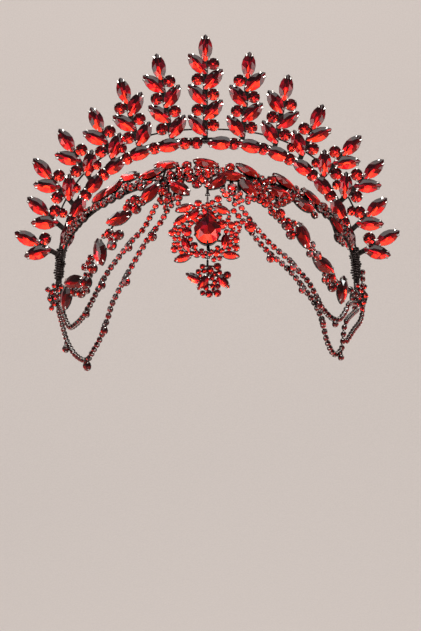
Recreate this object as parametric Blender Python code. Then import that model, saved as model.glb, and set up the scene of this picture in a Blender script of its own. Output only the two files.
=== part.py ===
"""Bridal crown: two arched bands that meet at the sides, a flat fan of fifteen leaf-shaped
spikes on the rear band, stones along the front band, strands and cup chains down each side
with small drops, and a pear-shaped pendant with a leaf drop at the front.

Frame: metres, +X to the viewer's right, +Y away from the viewer, +Z up. The origin is the
seat at the top of the hollow, at the underside of the rear band's crest."""

import math

import bpy
import bmesh
from mathutils import Matrix, Vector
from mathutils.geometry import intersect_point_line

# Rear band and the inner form that every piece lies on
HALF_WIDTH = 0.081          # from the middle to the middle of a band leg
BAND_DROP = 0.0804          # from the seat down to the ends of the legs
BAND_WIDE = 0.0036          # rear band, seen from the front
BAND_THICK = 0.0024         # rear band, front to back
ARCH_POWER = 2.4            # squareness of the rear arch, 2 is an ellipse
FAN_LEAN = math.radians(6)  # the fan leans back by this much
FORM_SIDE = 0.0044          # from a leg's middle in to the side of the form
FORM_HALF_DEPTH = 0.098
FORM_UPPER = 0.080
FORM_LOWER = 0.150
FORM_AHEAD = 0.0051         # the form's middle lies this far in front of the seat
CLEAR = 0.00035             # gap between two pieces that touch on the real crown

# Front band
FRONT_WIDE = 0.0044
FRONT_THICK = 0.0012
FRONT_STAND = 0.004         # middle of the strip above the inner form
FRONT_SLOPE = 0.6           # the front band's plane rises this much per metre forward
FRONT_LIFT = 0.014          # height of that plane at the form's middle

# Stones
NAVETTE_LONG = 0.0150
NAVETTE_WIDE = 0.0074
ROUND_WIDE = 0.0065
SMALL_NAVETTE_LONG = 0.0096
SMALL_NAVETTE_WIDE = 0.0042
SMALL_ROUND_WIDE = 0.0052
TINY_ROUND_WIDE = 0.0038
CHATON_WIDE = 0.0030
CUP_TALL = 0.0022
CROWN_TALL = 0.0012
TABLE_SHARE = 0.58
FACETS = 8

# Spikes
STEM_WIDE = 0.0034
STEM_THICK = 0.0013
RIB_WIDE = 0.0012           # the short bars that carry a stone set off its band
SPIKE_LONG = 0.060          # the tallest spike, arch to tip
FIRST_PAIR = 0.0163         # from a tip to the middle of its first pair
PAIR_PITCH = 0.0085
PAIR_SIDE = 0.0043          # a stone's middle to the stem's middle
LEAF_TURN = math.radians(42)
BASE_WIRE = 0.0008
BASE_DROP = 0.0018          # middle of the foot stones, below the arch's middle
CROSS_WIRE = 0.0005
CROSS_OUT = 0.0062          # the cross wire, outward from the arch

# Chains, strands and drops
CHAIN_WIDE = 0.0026
CHAIN_STAND = 0.0035
STRAND_WIRE = 0.0007
STRAND_STAND = 0.0040
EYE_WIDE = 0.0026
EYE_WIRE = 0.0004
CLUSTER_WIDE = 0.0104
CLUSTER_THICK = 0.0010

# Pendant
PEAR_LONG = 0.0178
PEAR_WIDE = 0.0140
PEAR_TALL = 0.0046
BEZEL_TALL = 0.0034
PENDANT_HALF = 0.020        # half the medallion's width
PENDANT_TURN = math.radians(25)   # the medallion leans as the inner form does
PENDANT_DROP = 0.0325       # from the seat down to the hinge at the medallion's top
PENDANT_STAND = 0.0045      # that hinge above the inner form
PENDANT_LONG = 0.0352       # from that hinge to the hinge of the lower drop
DROP_HALF = 0.010           # half the lower drop's width

GUNMETAL = (0.014, 0.012, 0.012)
SIAM = (0.42, 0.008, 0.012)

# Spikes: name, foot on the arch (degrees), lean (degrees), length and pair count, and the side
# of the first pair's navette. Lengths are shares of SPIKE_LONG.
SPIKES = (
    ("spike_centre", 90.4, 0, 0.97, 5, -1),
    ("spike_right_1", 80, 4.8, 0.83, 4, 1),
    ("spike_right_2", 67.5, 10.8, 0.70, 3, -1),
    ("spike_right_3", 56, 22.7, 0.565, 2, 1),
    ("spike_right_4", 44, 43, 0.54, 2, 1),
    ("spike_right_5", 31, 46, 0.57, 2, 1),
    ("spike_right_6", 18.7, 48, 0.45, 1, 1),
    ("spike_right_7", 9.6, 61, 0.46, 1, 1),
    ("spike_left_1", 100.3, -10.3, 0.825, 4, -1),
    ("spike_left_2", 113, -15.5, 0.685, 3, 1),
    ("spike_left_3", 125, -23, 0.55, 2, -1),
    ("spike_left_4", 137.8, -32, 0.57, 2, -1),
    ("spike_left_5", 150.6, -41, 0.58, 2, -1),
    ("spike_left_6", 161, -49, 0.46, 1, -1),
    ("spike_left_7", 170.4, -63, 0.465, 1, -1),
)

# Stones at the foot of the fan: kind, place on the arch (degrees), and turn from the arch's
# own direction (degrees)
BASE_STONES = (
    ("round", 92.6, 0), ("round", 96.2, 0), ("navette", 86.8, 4), ("round", 82.8, 0),
    ("navette", 76.6, -4), ("round", 71.8, 0), ("navette", 65.4, 0), ("round", 60, 0),
    ("navette", 53, 0), ("round", 47.6, 0), ("navette", 41.0, 0), ("round", 35.4, 0),
    ("navette", 28.6, 0), ("round", 22.6, 0), ("navette", 16.4, 0),
    ("navette", 101.8, 0), ("round", 107.4, 0), ("navette", 113.8, 0), ("round", 119.4, 0),
    ("navette", 126, 0), ("round", 132, 0), ("navette", 138, 0), ("round", 144, 0),
    ("navette", 150.6, 0), ("round", 156.6, 0), ("navette", 163, 0),
)

# Stones of the front band: kind, place as shares of HALF_WIDTH and BAND_DROP, and turn as seen
# from the front (degrees)
FRONT_STONES = (
    ("navette", -0.01, -0.20, -15), ("navette", -0.26, -0.21, 0), ("small_round", -0.132, -0.211, 0),
    ("small_round", -0.23, -0.277, 0), ("small_round", -0.11, -0.30, 0),
    ("navette", -0.174, -0.367, -33), ("small_round", -0.277, -0.386, 0),
    ("small_round", -0.067, -0.338, 0), ("small_round", 0.00, -0.28, 0),
    ("navette", 0.062, -0.325, 40), ("navette", 0.149, -0.285, -5),
    ("small_round", 0.143, -0.225, 0), ("navette", 0.252, -0.247, -32),
    ("navette", 0.253, -0.359, -50), ("small_round", 0.154, -0.361, 0),
    ("small_round", 0.36, -0.322, 0), ("tiny_round", 0.377, -0.437, 0),
    ("navette", 0.485, -0.315, -38), ("navette", 0.44, -0.385, -15),
    ("small_round", 0.495, -0.43, 0), ("tiny_round", 0.435, -0.468, 0),
    ("navette", 0.66, -0.405, -40),
    ("navette", 0.61, -0.465, -25), ("tiny_round", 0.678, -0.524, 0),
    ("tiny_round", 0.755, -0.515, 0), ("navette", 0.822, -0.575, -58),
    ("small_round", 0.832, -0.662, 0),
    ("navette", -0.352, -0.264, 20), ("navette", -0.494, -0.275, 3),
    ("small_round", -0.472, -0.352, 0), ("navette", -0.591, -0.345, 40),
    ("navette", -0.679, -0.392, 35), ("small_round", -0.699, -0.461, 0),
    ("tiny_round", -0.755, -0.487, 0),
)
# Small round stones below the front band, where the chains start
HUB_STONES = (
    ("tiny_round", -0.25, -0.445, 0), ("tiny_round", 0.112, -0.405, 0),
    ("tiny_round", 0.18, -0.42, 0),
)

# Strands of large stones, from the front band to the side clusters
STRAND_LEFT = (
    ("navette", -0.362, -0.388, 52), ("small_round", -0.46, -0.43, 0),
    ("small_round", -0.503, -0.48, 0), ("small_round", -0.448, -0.492, 0),
    ("navette", -0.558, -0.549, 20), ("small_round", -0.621, -0.646, 0),
    ("small_round", -0.556, -0.656, 0), ("small_round", -0.602, -0.722, 0),
    ("navette", -0.679, -0.762, -80), ("tiny_round", -0.74, -0.80, 0),
    ("tiny_round", -0.782, -0.856, 0), ("small_round", -0.725, -0.868, 0),
    ("round", -0.768, -0.955, 0), ("navette", -0.849, -0.95, 5),
    ("small_round", -0.85, -1.012, 0), ("small_round", -0.805, -1.022, 0),
    ("navette", -0.91, -1.045, 80), ("tiny_round", -0.945, -1.03, 0),
    ("tiny_round", -0.967, -1.04, 0), ("tiny_round", -0.9885, -1.03, 0),
)
STRAND_RIGHT = (
    ("small_round", 0.456, -0.52, 0), ("small_round", 0.495, -0.597, 0),
    ("small_round", 0.522, -0.655, 0), ("navette", 0.60, -0.659, -70),
    ("tiny_round", 0.659, -0.715, 0), ("tiny_round", 0.644, -0.774, 0),
    ("small_round", 0.691, -0.786, 0), ("navette", 0.731, -0.843, -35),
    ("small_round", 0.785, -0.919, 0), ("tiny_round", 0.745, -0.939, 0),
    ("small_round", 0.791, -0.984, 0), ("navette", 0.862, -1.00, 84),
    ("tiny_round", 0.92, -1.00, 0), ("tiny_round", 0.955, -1.02, 0),
    ("tiny_round", 0.989, -1.03, 0),
)
# Side clusters on the legs' ends: middle X as a share of HALF_WIDTH
CLUSTERS = (("cluster_left", -1.01), ("cluster_right", 1.01))

# Chain routes, a few points each: X and Z as shares of HALF_WIDTH and BAND_DROP. A third
# share places Y, in FORM_HALF_DEPTH, where a chain leaves the inner form.
CHAINS = {
    "chain_left_upper": (
        (-0.322, -0.452), (-0.365, -0.54), (-0.41, -0.62), (-0.48, -0.69), (-0.54, -0.765),
        (-0.615, -0.86), (-0.67, -0.945), (-0.71, -1.015), (-0.75, -1.09), (-0.80, -1.17),
        (-0.85, -1.22), (-0.90, -1.245), (-0.935, -1.20), (-0.955, -1.15),
        (-0.985, -1.092, -0.153)),
    "chain_left_lower": (
        (-0.248, -0.483), (-0.30, -0.58), (-0.36, -0.655), (-0.41, -0.735), (-0.46, -0.82),
        (-0.505, -0.90), (-0.57, -1.02), (-0.61, -1.10), (-0.635, -1.18), (-0.68, -1.30),
        (-0.735, -1.395), (-0.785, -1.46), (-0.86, -1.43), (-0.92, -1.35), (-0.955, -1.265),
        (-1.0, -1.128, -0.15)),
    "chain_right_upper": (
        (0.205, -0.465), (0.25, -0.535), (0.31, -0.615), (0.375, -0.69), (0.445, -0.755),
        (0.515, -0.81), (0.575, -0.88), (0.64, -0.95), (0.69, -1.035), (0.725, -1.105),
        (0.795, -1.18), (0.85, -1.195), (0.895, -1.15), (0.93, -1.09),
        (0.989, -1.088, -0.152)),
    "chain_right_lower": (
        (0.152, -0.487), (0.225, -0.57), (0.28, -0.645), (0.34, -0.72), (0.405, -0.785),
        (0.48, -0.845), (0.545, -0.91), (0.605, -0.985), (0.67, -1.07), (0.715, -1.15),
        (0.745, -1.24), (0.77, -1.335), (0.82, -1.42), (0.875, -1.385), (0.89, -1.28),
        (0.91, -1.20), (1.0, -1.128, -0.15)),
    "chain_right_rear": (
        (0.905, -1.345, -0.44), (0.965, -1.265, -0.31), (1.02, -1.20, -0.17),
        (1.0435, -1.10, -0.068), (1.0435, -0.96, -0.062), (1.0435, -0.85, -0.06)),
}
# Small drops on the chains: chain, place along its route counted in its points, and the
# width as a share of ROUND_WIDE
DROPS = {
    "drop_left_1": ("chain_left_upper", 3.2, 0.6),
    "drop_left_2": ("chain_left_upper", 5.9, 0.66),
    "drop_left_3": ("chain_left_upper", 8.4, 0.6),
    "drop_left_4": ("chain_left_lower", 1.7, 0.71),
    "drop_left_5": ("chain_left_lower", 5.1, 0.76),
    "drop_left_6": ("chain_left_lower", 8.4, 0.65),
    "drop_left_7": ("chain_left_lower", 10.7, 0.83),
    "drop_left_8": ("chain_left_lower", 13.0, 0.65),
    "drop_right_1": ("chain_right_upper", 1.3, 0.97),
    "drop_right_2": ("chain_right_upper", 5.3, 0.6),
    "drop_right_3": ("chain_right_upper", 8.4, 0.65),
    "drop_right_4": ("chain_right_upper", 10.3, 0.52),
    "drop_right_5": ("chain_right_lower", 3.8, 0.65),
    "drop_right_6": ("chain_right_lower", 6.8, 0.6),
    "drop_right_7": ("chain_right_lower", 9.4, 0.5),
    "drop_right_8": ("chain_right_lower", 12.6, 0.5),
}

# Medallion: kind, place across and down from the hinge as shares of PENDANT_HALF and
# PENDANT_LONG, and turn (degrees)
MEDALLION = (
    ("small_navette", -0.36, 0.325, 50), ("small_navette", 0.02, 0.305, -40),
    ("tiny_round", -0.24, 0.145, 0), ("tiny_round", 0.27, 0.072, 0),
    ("small_navette", -0.60, 0.224, 20), ("small_navette", -0.68, 0.419, 40),
    ("small_navette", 0.36, 0.25, -24), ("small_round", -0.53, 0.61, 0),
    ("small_navette", -0.55, 0.81, -70), ("tiny_round", -0.90, 0.625, 0),
    ("tiny_round", -0.84, 0.89, 0),
    ("small_navette", -0.62, 1.03, 20), ("tiny_round", -0.27, 0.965, 0),
    ("tiny_round", 0.22, 0.955, 0), ("small_navette", 0.57, 0.985, -8),
    ("small_navette", 0.45, 0.76, 84), ("tiny_round", 0.72, 0.738, 0),
    ("tiny_round", 0.72, 0.867, 0), ("small_round", 0.37, 0.49, 0),
    ("tiny_round", 0.60, 0.50, 0),
)
PEAR_DOWN = 0.60            # the pear's middle, a share of PENDANT_LONG from the hinge

# Lower drop: kind, place across and down from its hinge as shares of DROP_HALF, and turn
LOWER_DROP = (
    ("small_navette", -0.68, 1.00, -30), ("small_navette", -0.22, 1.20, 55),
    ("small_navette", 0.76, 1.15, -45), ("tiny_round", 0.12, 0.60, 0),
    ("tiny_round", 0.50, 0.42, 0), ("tiny_round", 1.00, 0.85, 0),
    ("tiny_round", 0.08, 1.80, 0),
    ("tiny_round", 0.50, 1.76, 0),
)


def make_material(name, colour, rough, metal):
    """A Principled material with one colour."""
    made = bpy.data.materials.new(name)
    made.use_nodes = True
    shader = made.node_tree.nodes["Principled BSDF"]
    shader.inputs["Base Color"].default_value = (*colour, 1)
    shader.inputs["Roughness"].default_value = rough
    shader.inputs["Metallic"].default_value = metal
    return made


def make_object(name, mesh, collection, matrix, material=None):
    """An object of the mesh, placed by the matrix."""
    made = bpy.data.objects.new(name, mesh)
    made.matrix_world = matrix
    collection.objects.link(made)
    if material:
        mesh.materials.append(material)
    return made


def finish_mesh(name, bm):
    """The bmesh as a mesh, with its faces pointing out."""
    bmesh.ops.recalc_face_normals(bm, faces=bm.faces)
    mesh = bpy.data.meshes.new(name)
    bm.to_mesh(mesh)
    bm.free()
    return mesh


def pinch_navette(verts):
    """Draw the octagon's slanting corners in, so that its ends come to a point."""
    for vert in verts:
        if abs(vert.co.x) > 0.1 and abs(vert.co.y) > 0.1:
            vert.co.y *= 0.78


def pinch_pear(verts):
    """Draw one end in to a point, in steps along the pear."""
    for vert in verts:
        vert.co.x *= 1 - 0.75 * max(0.0, vert.co.y) ** 1.3


def stone_mesh(name, long, wide, cup, crown, pinch=None, facets=FACETS, table=TABLE_SHARE):
    """A stone in its cup: a tapered cup from Z 0, then a crown of facets up to a flat table.
    With no cup height the facets start at Z 0. Its length is along X, its face is +Z."""
    bm = bmesh.new()
    bmesh.ops.create_cone(bm, cap_ends=True, segments=facets, radius1=0.82 if cup else 1,
                          radius2=1 if cup else table, depth=1)
    for vert in bm.verts:
        vert.co.z = (vert.co.z + 0.5) * (cup or crown)
    if cup:
        top = max(bm.faces, key=lambda face: face.calc_center_median().z)
        raised = bmesh.ops.extrude_discrete_faces(bm, faces=[top])["faces"][0]
        for vert in raised.verts:
            vert.co = Vector((vert.co.x * table, vert.co.y * table, cup + crown))
    if pinch:
        pinch(bm.verts)
    for vert in bm.verts:
        vert.co.x *= long / 2
        vert.co.y *= wide / 2
    bmesh.ops.remove_doubles(bm, verts=bm.verts, dist=0.000001)
    return finish_mesh(name, bm)


def box_mesh(name, size):
    """A box about its middle."""
    bm = bmesh.new()
    bmesh.ops.create_cube(bm, size=1)
    bmesh.ops.scale(bm, vec=size, verts=bm.verts)
    return finish_mesh(name, bm)


def bar_between(name, start, end, up, thick):
    """A square bar from start to end, and the matrix that places it."""
    along = (end - start).normalized()
    side = up.cross(along).normalized()
    turned = Matrix((along, side, along.cross(side))).transposed().to_4x4()
    mesh = box_mesh(name, ((end - start).length, thick, thick))
    return mesh, Matrix.Translation((start + end) / 2) @ turned


def curve_object(name, points, collection, matrix, flat, depth=0.0, sides=2, profile=None):
    """A POLY curve through the points, as a tube or with a profile, its ends capped."""
    curve = bpy.data.curves.new(name, "CURVE")
    curve.dimensions = "2D" if flat else "3D"
    curve.bevel_depth = depth
    curve.bevel_resolution = sides
    curve.use_fill_caps = True
    if profile:
        curve.bevel_mode = "OBJECT"
        curve.bevel_object = profile
    spline = curve.splines.new("POLY")
    spline.points.add(len(points) - 1)
    for point, place in zip(spline.points, points):
        point.co = (*place, 1) if len(place) == 3 else (*place, 0, 1)
    return make_object(name, curve, collection, matrix)


def mesh_from_curve(source, name, collection, material):
    """The curve object as a welded mesh object in the same place."""
    graph = bpy.context.evaluated_depsgraph_get()
    graph.update()
    mesh = bpy.data.meshes.new_from_object(source.evaluated_get(graph))
    bm = bmesh.new()
    bm.from_mesh(mesh)
    bmesh.ops.remove_doubles(bm, verts=bm.verts, dist=0.00001)
    bmesh.ops.recalc_face_normals(bm, faces=bm.faces)
    bm.to_mesh(mesh)
    bm.free()
    mesh.name = name
    mesh.materials.clear()
    mesh.shade_smooth()
    mesh.set_sharp_from_angle(angle=math.radians(50))
    matrix = source.matrix_world.copy()
    bpy.data.objects.remove(source)
    return make_object(name, mesh, collection, matrix, material)


def smooth_route(points, count):
    """Points read from a smooth curve through the route's own points (Catmull-Rom)."""
    padded = [2 * points[0] - points[1], *points, 2 * points[-1] - points[-2]]
    spans = len(points) - 1
    read = []
    for step in range(count + 1):
        place = min(step / count * spans, spans - 1e-6)
        at = int(place)
        t = place - at
        a, b, c, d = padded[at:at + 4]
        read.append(0.5 * ((2 * b) + (c - a) * t + (2 * a - 5 * b + 4 * c - d) * t ** 2
                           + (3 * b - a - 3 * c + d) * t ** 3))
    return read


def arch_point(angle, out=0.0):
    """The rear arch at an angle, as across and up in the fan's plane, moved outward."""
    across = HALF_WIDTH + out
    rise = BAND_DROP + BAND_WIDE / 2 + out
    power = 2 / ARCH_POWER
    cosine, sine = math.cos(angle), max(math.sin(angle), 0.0)
    return Vector((math.copysign(abs(cosine) ** power, cosine) * across,
                   -BAND_DROP + sine ** power * rise))


def fan_matrix(across, up, front, turn=0.0):
    """A frame in the fan's plane: X to the right, Y up the fan, Z to the viewer."""
    lean = Matrix.Rotation(math.pi / 2 - FAN_LEAN, 4, "X")
    return lean @ Matrix.Translation((across, up, front)) @ Matrix.Rotation(turn, 4, "Z")


def form_place(x, z, stand):
    """The point and the outward normal of the inner form, grown by stand, at X and Z."""
    a = HALF_WIDTH - FORM_SIDE + stand
    b = FORM_HALF_DEPTH + stand
    height = z + FORM_UPPER
    c = (FORM_UPPER if height > 0 else FORM_LOWER) + stand
    deep = max(1 - (x / a) ** 2 - (height / c) ** 2, 0.008)
    y = -b * math.sqrt(deep)
    normal = Vector((x / a ** 2, y / b ** 2, height / c ** 2)).normalized()
    return Vector((x, y - FORM_AHEAD, z)), normal


def form_matrix(x, z, stand, turn):
    """A frame on the inner form: Z outward, and X in the direction that a viewer in front
    sees at the given turn."""
    place, normal = form_place(x, z, stand)
    seen = Vector((math.cos(turn), 0, math.sin(turn)))
    seen.y = -(normal.x * seen.x + normal.z * seen.z) / normal.y
    seen.normalize()
    side = normal.cross(seen)
    return Matrix.Translation(place) @ Matrix((seen, side, normal)).transposed().to_4x4()


def front_point(angle):
    """The front band's middle line: where its sloping plane meets the grown inner form, at an
    angle around it from straight ahead. Returned in the plane: across and forward."""
    a = HALF_WIDTH - FORM_SIDE + FRONT_STAND
    b = FORM_HALF_DEPTH + FRONT_STAND
    c = FORM_UPPER + FRONT_STAND
    sine, cosine = math.sin(angle), math.cos(angle)
    square = (sine / a) ** 2 + (cosine / b) ** 2 + (FRONT_SLOPE * cosine / c) ** 2
    linear = 2 * FRONT_LIFT * FRONT_SLOPE * cosine / c ** 2
    rest = (FRONT_LIFT / c) ** 2 - 1
    far = (-linear + math.sqrt(linear ** 2 - 4 * square * rest)) / (2 * square)
    return far * sine, far * cosine


def front_matrix():
    """The front band's plane: X to the right, Y down its slope to the rear, Z its normal."""
    tilt = Matrix.Rotation(-math.atan(FRONT_SLOPE), 4, "X")
    return Matrix.Translation((0, -FORM_AHEAD, FRONT_LIFT - FORM_UPPER)) @ tilt


def strip_profile(name, wide, thick, collection):
    """A closed rectangle for a strip: thick in the curve's plane, wide across it."""
    curve = bpy.data.curves.new(name, "CURVE")
    curve.dimensions = "2D"
    spline = curve.splines.new("POLY")
    spline.points.add(3)
    corners = ((-1, -1), (1, -1), (1, 1), (-1, 1))
    for point, (x, y) in zip(spline.points, corners):
        point.co = (x * thick / 2, y * wide / 2, 0, 1)
    spline.use_cyclic_u = True
    return make_object(name, curve, collection, Matrix())


class Shop:
    """Keeps the collections, the materials and one mesh for each kind of stone."""

    def __init__(self):
        self.parts = bpy.data.collections.new("bridal_crown")
        self.cutters = bpy.data.collections.new("fused_pieces")
        for group in (self.parts, self.cutters):
            bpy.context.scene.collection.children.link(group)
        self.metal = make_material("gunmetal", GUNMETAL, 0.32, 0.9)
        self.siam = make_material("siam_glass", SIAM, 0.12, 0.0)
        self.stones = {
            "navette": stone_mesh("navette", NAVETTE_LONG, NAVETTE_WIDE, 0,
                                  CUP_TALL + CROWN_TALL, pinch_navette),
            "round": stone_mesh("round", ROUND_WIDE, ROUND_WIDE, 0, CUP_TALL + CROWN_TALL),
            "small_navette": stone_mesh("small_navette", SMALL_NAVETTE_LONG,
                                        SMALL_NAVETTE_WIDE, 0, CUP_TALL + CROWN_TALL * 0.8,
                                        pinch_navette),
            "small_round": stone_mesh("small_round", SMALL_ROUND_WIDE, SMALL_ROUND_WIDE, 0,
                                      CUP_TALL + CROWN_TALL * 0.8),
            "tiny_round": stone_mesh("tiny_round", TINY_ROUND_WIDE, TINY_ROUND_WIDE, 0,
                                     CUP_TALL + CROWN_TALL * 0.5),
            "chaton": stone_mesh("chaton", CHATON_WIDE, CHATON_WIDE, 0, CUP_TALL),
        }
        for mesh in self.stones.values():
            mesh.materials.append(self.siam)
        self.eye = eye_mesh()

    def fuse(self, base, pieces):
        """Join the placed meshes to the base object in one union."""
        group = bpy.data.collections.new(base.name + "_pieces")
        self.cutters.children.link(group)
        for number, (mesh, matrix) in enumerate(pieces):
            if not mesh.materials:
                mesh.materials.append(self.metal)
            piece = make_object(f"{base.name}_piece_{number}", mesh, group, matrix)
            piece.hide_render = True
            piece.display_type = "WIRE"
        union = base.modifiers.new("union", "BOOLEAN")
        union.operation = "UNION"
        union.operand_type = "COLLECTION"
        union.collection = group
        union.solver = "EXACT"
        union.material_mode = "TRANSFER"
        return base


def front_of_band():
    """How far in front of the rear band's middle the fan's stones and stems sit."""
    return BAND_THICK / 2 + CLEAR


def build_rear_band(shop):
    """The flat band from one leg over the crest to the other, in the fan's plane."""
    profile = strip_profile("rear_profile", BAND_THICK, BAND_WIDE, shop.cutters)
    points = [arch_point(math.radians(angle)) for angle in range(0, 181, 5)]
    made = curve_object("rear_band_curve", points, shop.cutters, fan_matrix(0, 0, 0), True,
                        profile=profile)
    made = mesh_from_curve(made, "rear_band", shop.parts, shop.metal)
    bpy.data.objects.remove(profile)
    return made


def nearest_on_line(place, line):
    """The point of the broken line that lies nearest to the place."""
    spots = []
    for start, end in zip(line, line[1:]):
        spot, share = intersect_point_line(place, start, end)
        spots.append(start.lerp(end, min(max(share, 0.0), 1.0)))
    return min(spots, key=lambda spot: (spot - place).length)


def build_front_band(shop):
    """The front arch's strip with its stones, which stand on short bars."""
    profile = strip_profile("front_profile", FRONT_WIDE, FRONT_THICK, shop.cutters)
    leg_face = (-BAND_DROP + FRONT_LIFT) * math.sin(FAN_LEAN) - front_of_band() + FORM_AHEAD
    leg_face -= FRONT_WIDE / 5
    half = math.acos(min(1.0, -leg_face / HALF_WIDTH))
    angles = [half * step / 14 for step in range(-14, 15)]
    flat = [front_point(angle) for angle in angles]
    stretch = math.hypot(1, FRONT_SLOPE)
    middle = [(x, -forward * stretch) for x, forward in flat]
    made = curve_object("front_band_curve", middle, shop.cutters, front_matrix(), True,
                        profile=profile)
    made = mesh_from_curve(made, "front_band", shop.parts, shop.metal)
    bpy.data.objects.remove(profile)
    line = [front_matrix() @ Vector((x, y, 0)) for x, y in middle]
    pieces = []
    for number, (kind, x, z, turn) in enumerate(FRONT_STONES + HUB_STONES):
        matrix = form_matrix(x * HALF_WIDTH, z * BAND_DROP, FRONT_STAND, math.radians(turn))
        pieces.append((shop.stones[kind], matrix))
        place = matrix @ Vector((0, 0, RIB_WIDE * 0.6))
        near = nearest_on_line(place, line)
        if (near - place).length > FRONT_WIDE / 2 + SMALL_ROUND_WIDE * 0.3:
            pieces.append(bar_between(f"front_rib_{number}", place, near, matrix.col[2].xyz,
                                      RIB_WIDE))
    crest = line[len(line) // 2]
    hinge, normal = form_place(0, -PENDANT_DROP, FRONT_STAND)
    pieces.append(bar_between("front_hanger", crest, hinge + normal * RIB_WIDE / 2, normal,
                              RIB_WIDE))
    return shop.fuse(made, pieces)


def build_spike(shop, name, angle, lean, share, pairs, side):
    """One leaf-shaped spike: a flat stem, a navette at the tip, and pairs of a navette and a
    round stone that change sides from pair to pair."""
    foot = arch_point(math.radians(angle))
    slant = math.radians(lean)
    long = share * SPIKE_LONG
    tip = foot + Vector((math.sin(slant), math.cos(slant))) * long
    frame = fan_matrix(tip.x, tip.y, front_of_band(), -slant)
    stem_top = NAVETTE_LONG * 0.6
    stem_end = long - (NAVETTE_WIDE / 2 - BASE_DROP + CLEAR)
    middle = Vector((0, -(stem_top + stem_end) / 2, STEM_THICK / 2))
    stem = make_object(name, box_mesh(name, (STEM_WIDE, stem_end - stem_top, STEM_THICK)),
                       shop.parts, frame @ Matrix.Translation(middle), shop.metal)
    lift = STEM_THICK * 0.15
    pieces = [(shop.stones["navette"], frame @ Matrix.Translation((0, -NAVETTE_LONG / 2, lift))
               @ Matrix.Rotation(math.pi / 2, 4, "Z"))]
    for pair in range(pairs):
        down = -(FIRST_PAIR + pair * PAIR_PITCH)
        leaf = side * (-1) ** pair
        turn = Matrix.Rotation(math.pi / 2 - leaf * LEAF_TURN, 4, "Z")
        pieces.append((shop.stones["navette"],
                       frame @ Matrix.Translation((leaf * PAIR_SIDE, down, lift)) @ turn))
        pieces.append((shop.stones["round"],
                       frame @ Matrix.Translation((-leaf * PAIR_SIDE, down, lift * 2))))
    return shop.fuse(stem, pieces)


def build_fan_base(shop):
    """The wire along the foot of the fan, with the stones that sit on it."""
    out = -BAND_WIDE / 4
    points = [(*arch_point(math.radians(angle), out), 0) for angle in range(15, 166, 10)]
    made = curve_object("fan_base_curve", points, shop.cutters,
                        fan_matrix(0, 0, front_of_band() + BASE_WIRE), False,
                        depth=BASE_WIRE, sides=0)
    made = mesh_from_curve(made, "fan_base", shop.parts, shop.metal)
    pieces = []
    for kind, angle, turn in BASE_STONES:
        here = arch_point(math.radians(angle))
        along = arch_point(math.radians(angle - 1)) - arch_point(math.radians(angle + 1))
        inward = Vector((along.y, -along.x)).normalized()
        place = here + inward * BASE_DROP
        heading = math.atan2(along.y, along.x) + math.radians(turn)
        pieces.append((shop.stones[kind],
                       fan_matrix(place.x, place.y, front_of_band() + BASE_WIRE * 0.2, heading)))
    return shop.fuse(made, pieces)


def build_cross_wire(shop):
    """A thin wire behind the stems, that ties the spikes to each other."""
    points = [(*arch_point(math.radians(angle), CROSS_OUT), 0) for angle in range(25, 156, 5)]
    back = front_of_band() - CLEAR - CROSS_WIRE
    made = curve_object("cross_wire_curve", points, shop.cutters, fan_matrix(0, 0, back), False,
                        depth=CROSS_WIRE, sides=0)
    return mesh_from_curve(made, "cross_wire", shop.parts, shop.metal)


def build_strand(shop, name, stones):
    """Large stones on a wire, from the front band down to the side cluster."""
    matrices = [form_matrix(x * HALF_WIDTH, z * BAND_DROP, STRAND_STAND, math.radians(turn))
                for kind, x, z, turn in stones]
    points = [tuple(matrix @ Vector((0, 0, STRAND_WIRE * 1.5))) for matrix in matrices]
    made = curve_object(name + "_curve", points, shop.cutters, Matrix(), False,
                        depth=STRAND_WIRE, sides=0)
    made = mesh_from_curve(made, name, shop.parts, shop.metal)
    pieces = [(shop.stones[stone[0]], matrix) for stone, matrix in zip(stones, matrices)]
    return shop.fuse(made, pieces)


def chain_places(name):
    """A chain's few chosen points: on the inner form, or at their own Y."""
    places = []
    for x, z, *y in CHAINS[name]:
        place, normal = form_place(x * HALF_WIDTH, z * BAND_DROP, CHAIN_STAND)
        if y:
            place.y = y[0] * FORM_HALF_DEPTH
        places.append(place)
    return places


def build_chain(shop, name, places):
    """A cup chain as a plain tube, read from a smooth curve through its route."""
    points = [tuple(point) for point in smooth_route(places, round(1.4 * len(places)))]
    made = curve_object(name + "_curve", points, shop.cutters, Matrix(), False,
                        depth=CHAIN_WIDE / 2, sides=2)
    return mesh_from_curve(made, name, shop.parts, shop.siam)


def build_cluster(shop, name, share):
    """A round plate with small stones, in front of a leg's end."""
    side = math.copysign(1, share)
    face = Vector((side * 0.35, -0.94, 0)).normalized()
    across = face.cross(Vector((0, 0, -1))).normalized()
    up = face.cross(across)
    leg_y = -BAND_DROP * math.sin(FAN_LEAN)
    y = leg_y - front_of_band() - CLUSTER_THICK / 2 - BAND_WIDE / 2 * 0.37
    middle = Vector((share * HALF_WIDTH, y, -BAND_DROP * 1.045))
    frame = Matrix.Translation(middle) @ Matrix((across, up, face)).transposed().to_4x4()
    bm = bmesh.new()
    bmesh.ops.create_cone(bm, cap_ends=True, segments=12, radius1=CLUSTER_WIDE / 2,
                          radius2=CLUSTER_WIDE / 2, depth=CLUSTER_THICK)
    plate = make_object(name, finish_mesh(name, bm), shop.parts, frame, shop.metal)
    ring = CLUSTER_WIDE / 2 - CHATON_WIDE * 0.46
    spots = [Matrix.Translation((0, 0, CLUSTER_THICK * 0.2))]
    for step in range(6):
        turn = Matrix.Rotation(math.tau * (step + 0.2) / 6, 4, "Z")
        spots.append(turn @ Matrix.Translation((ring, 0, CLUSTER_THICK * 0.1)))
    return shop.fuse(plate, [(shop.stones["chaton"], frame @ spot) for spot in spots])


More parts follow.
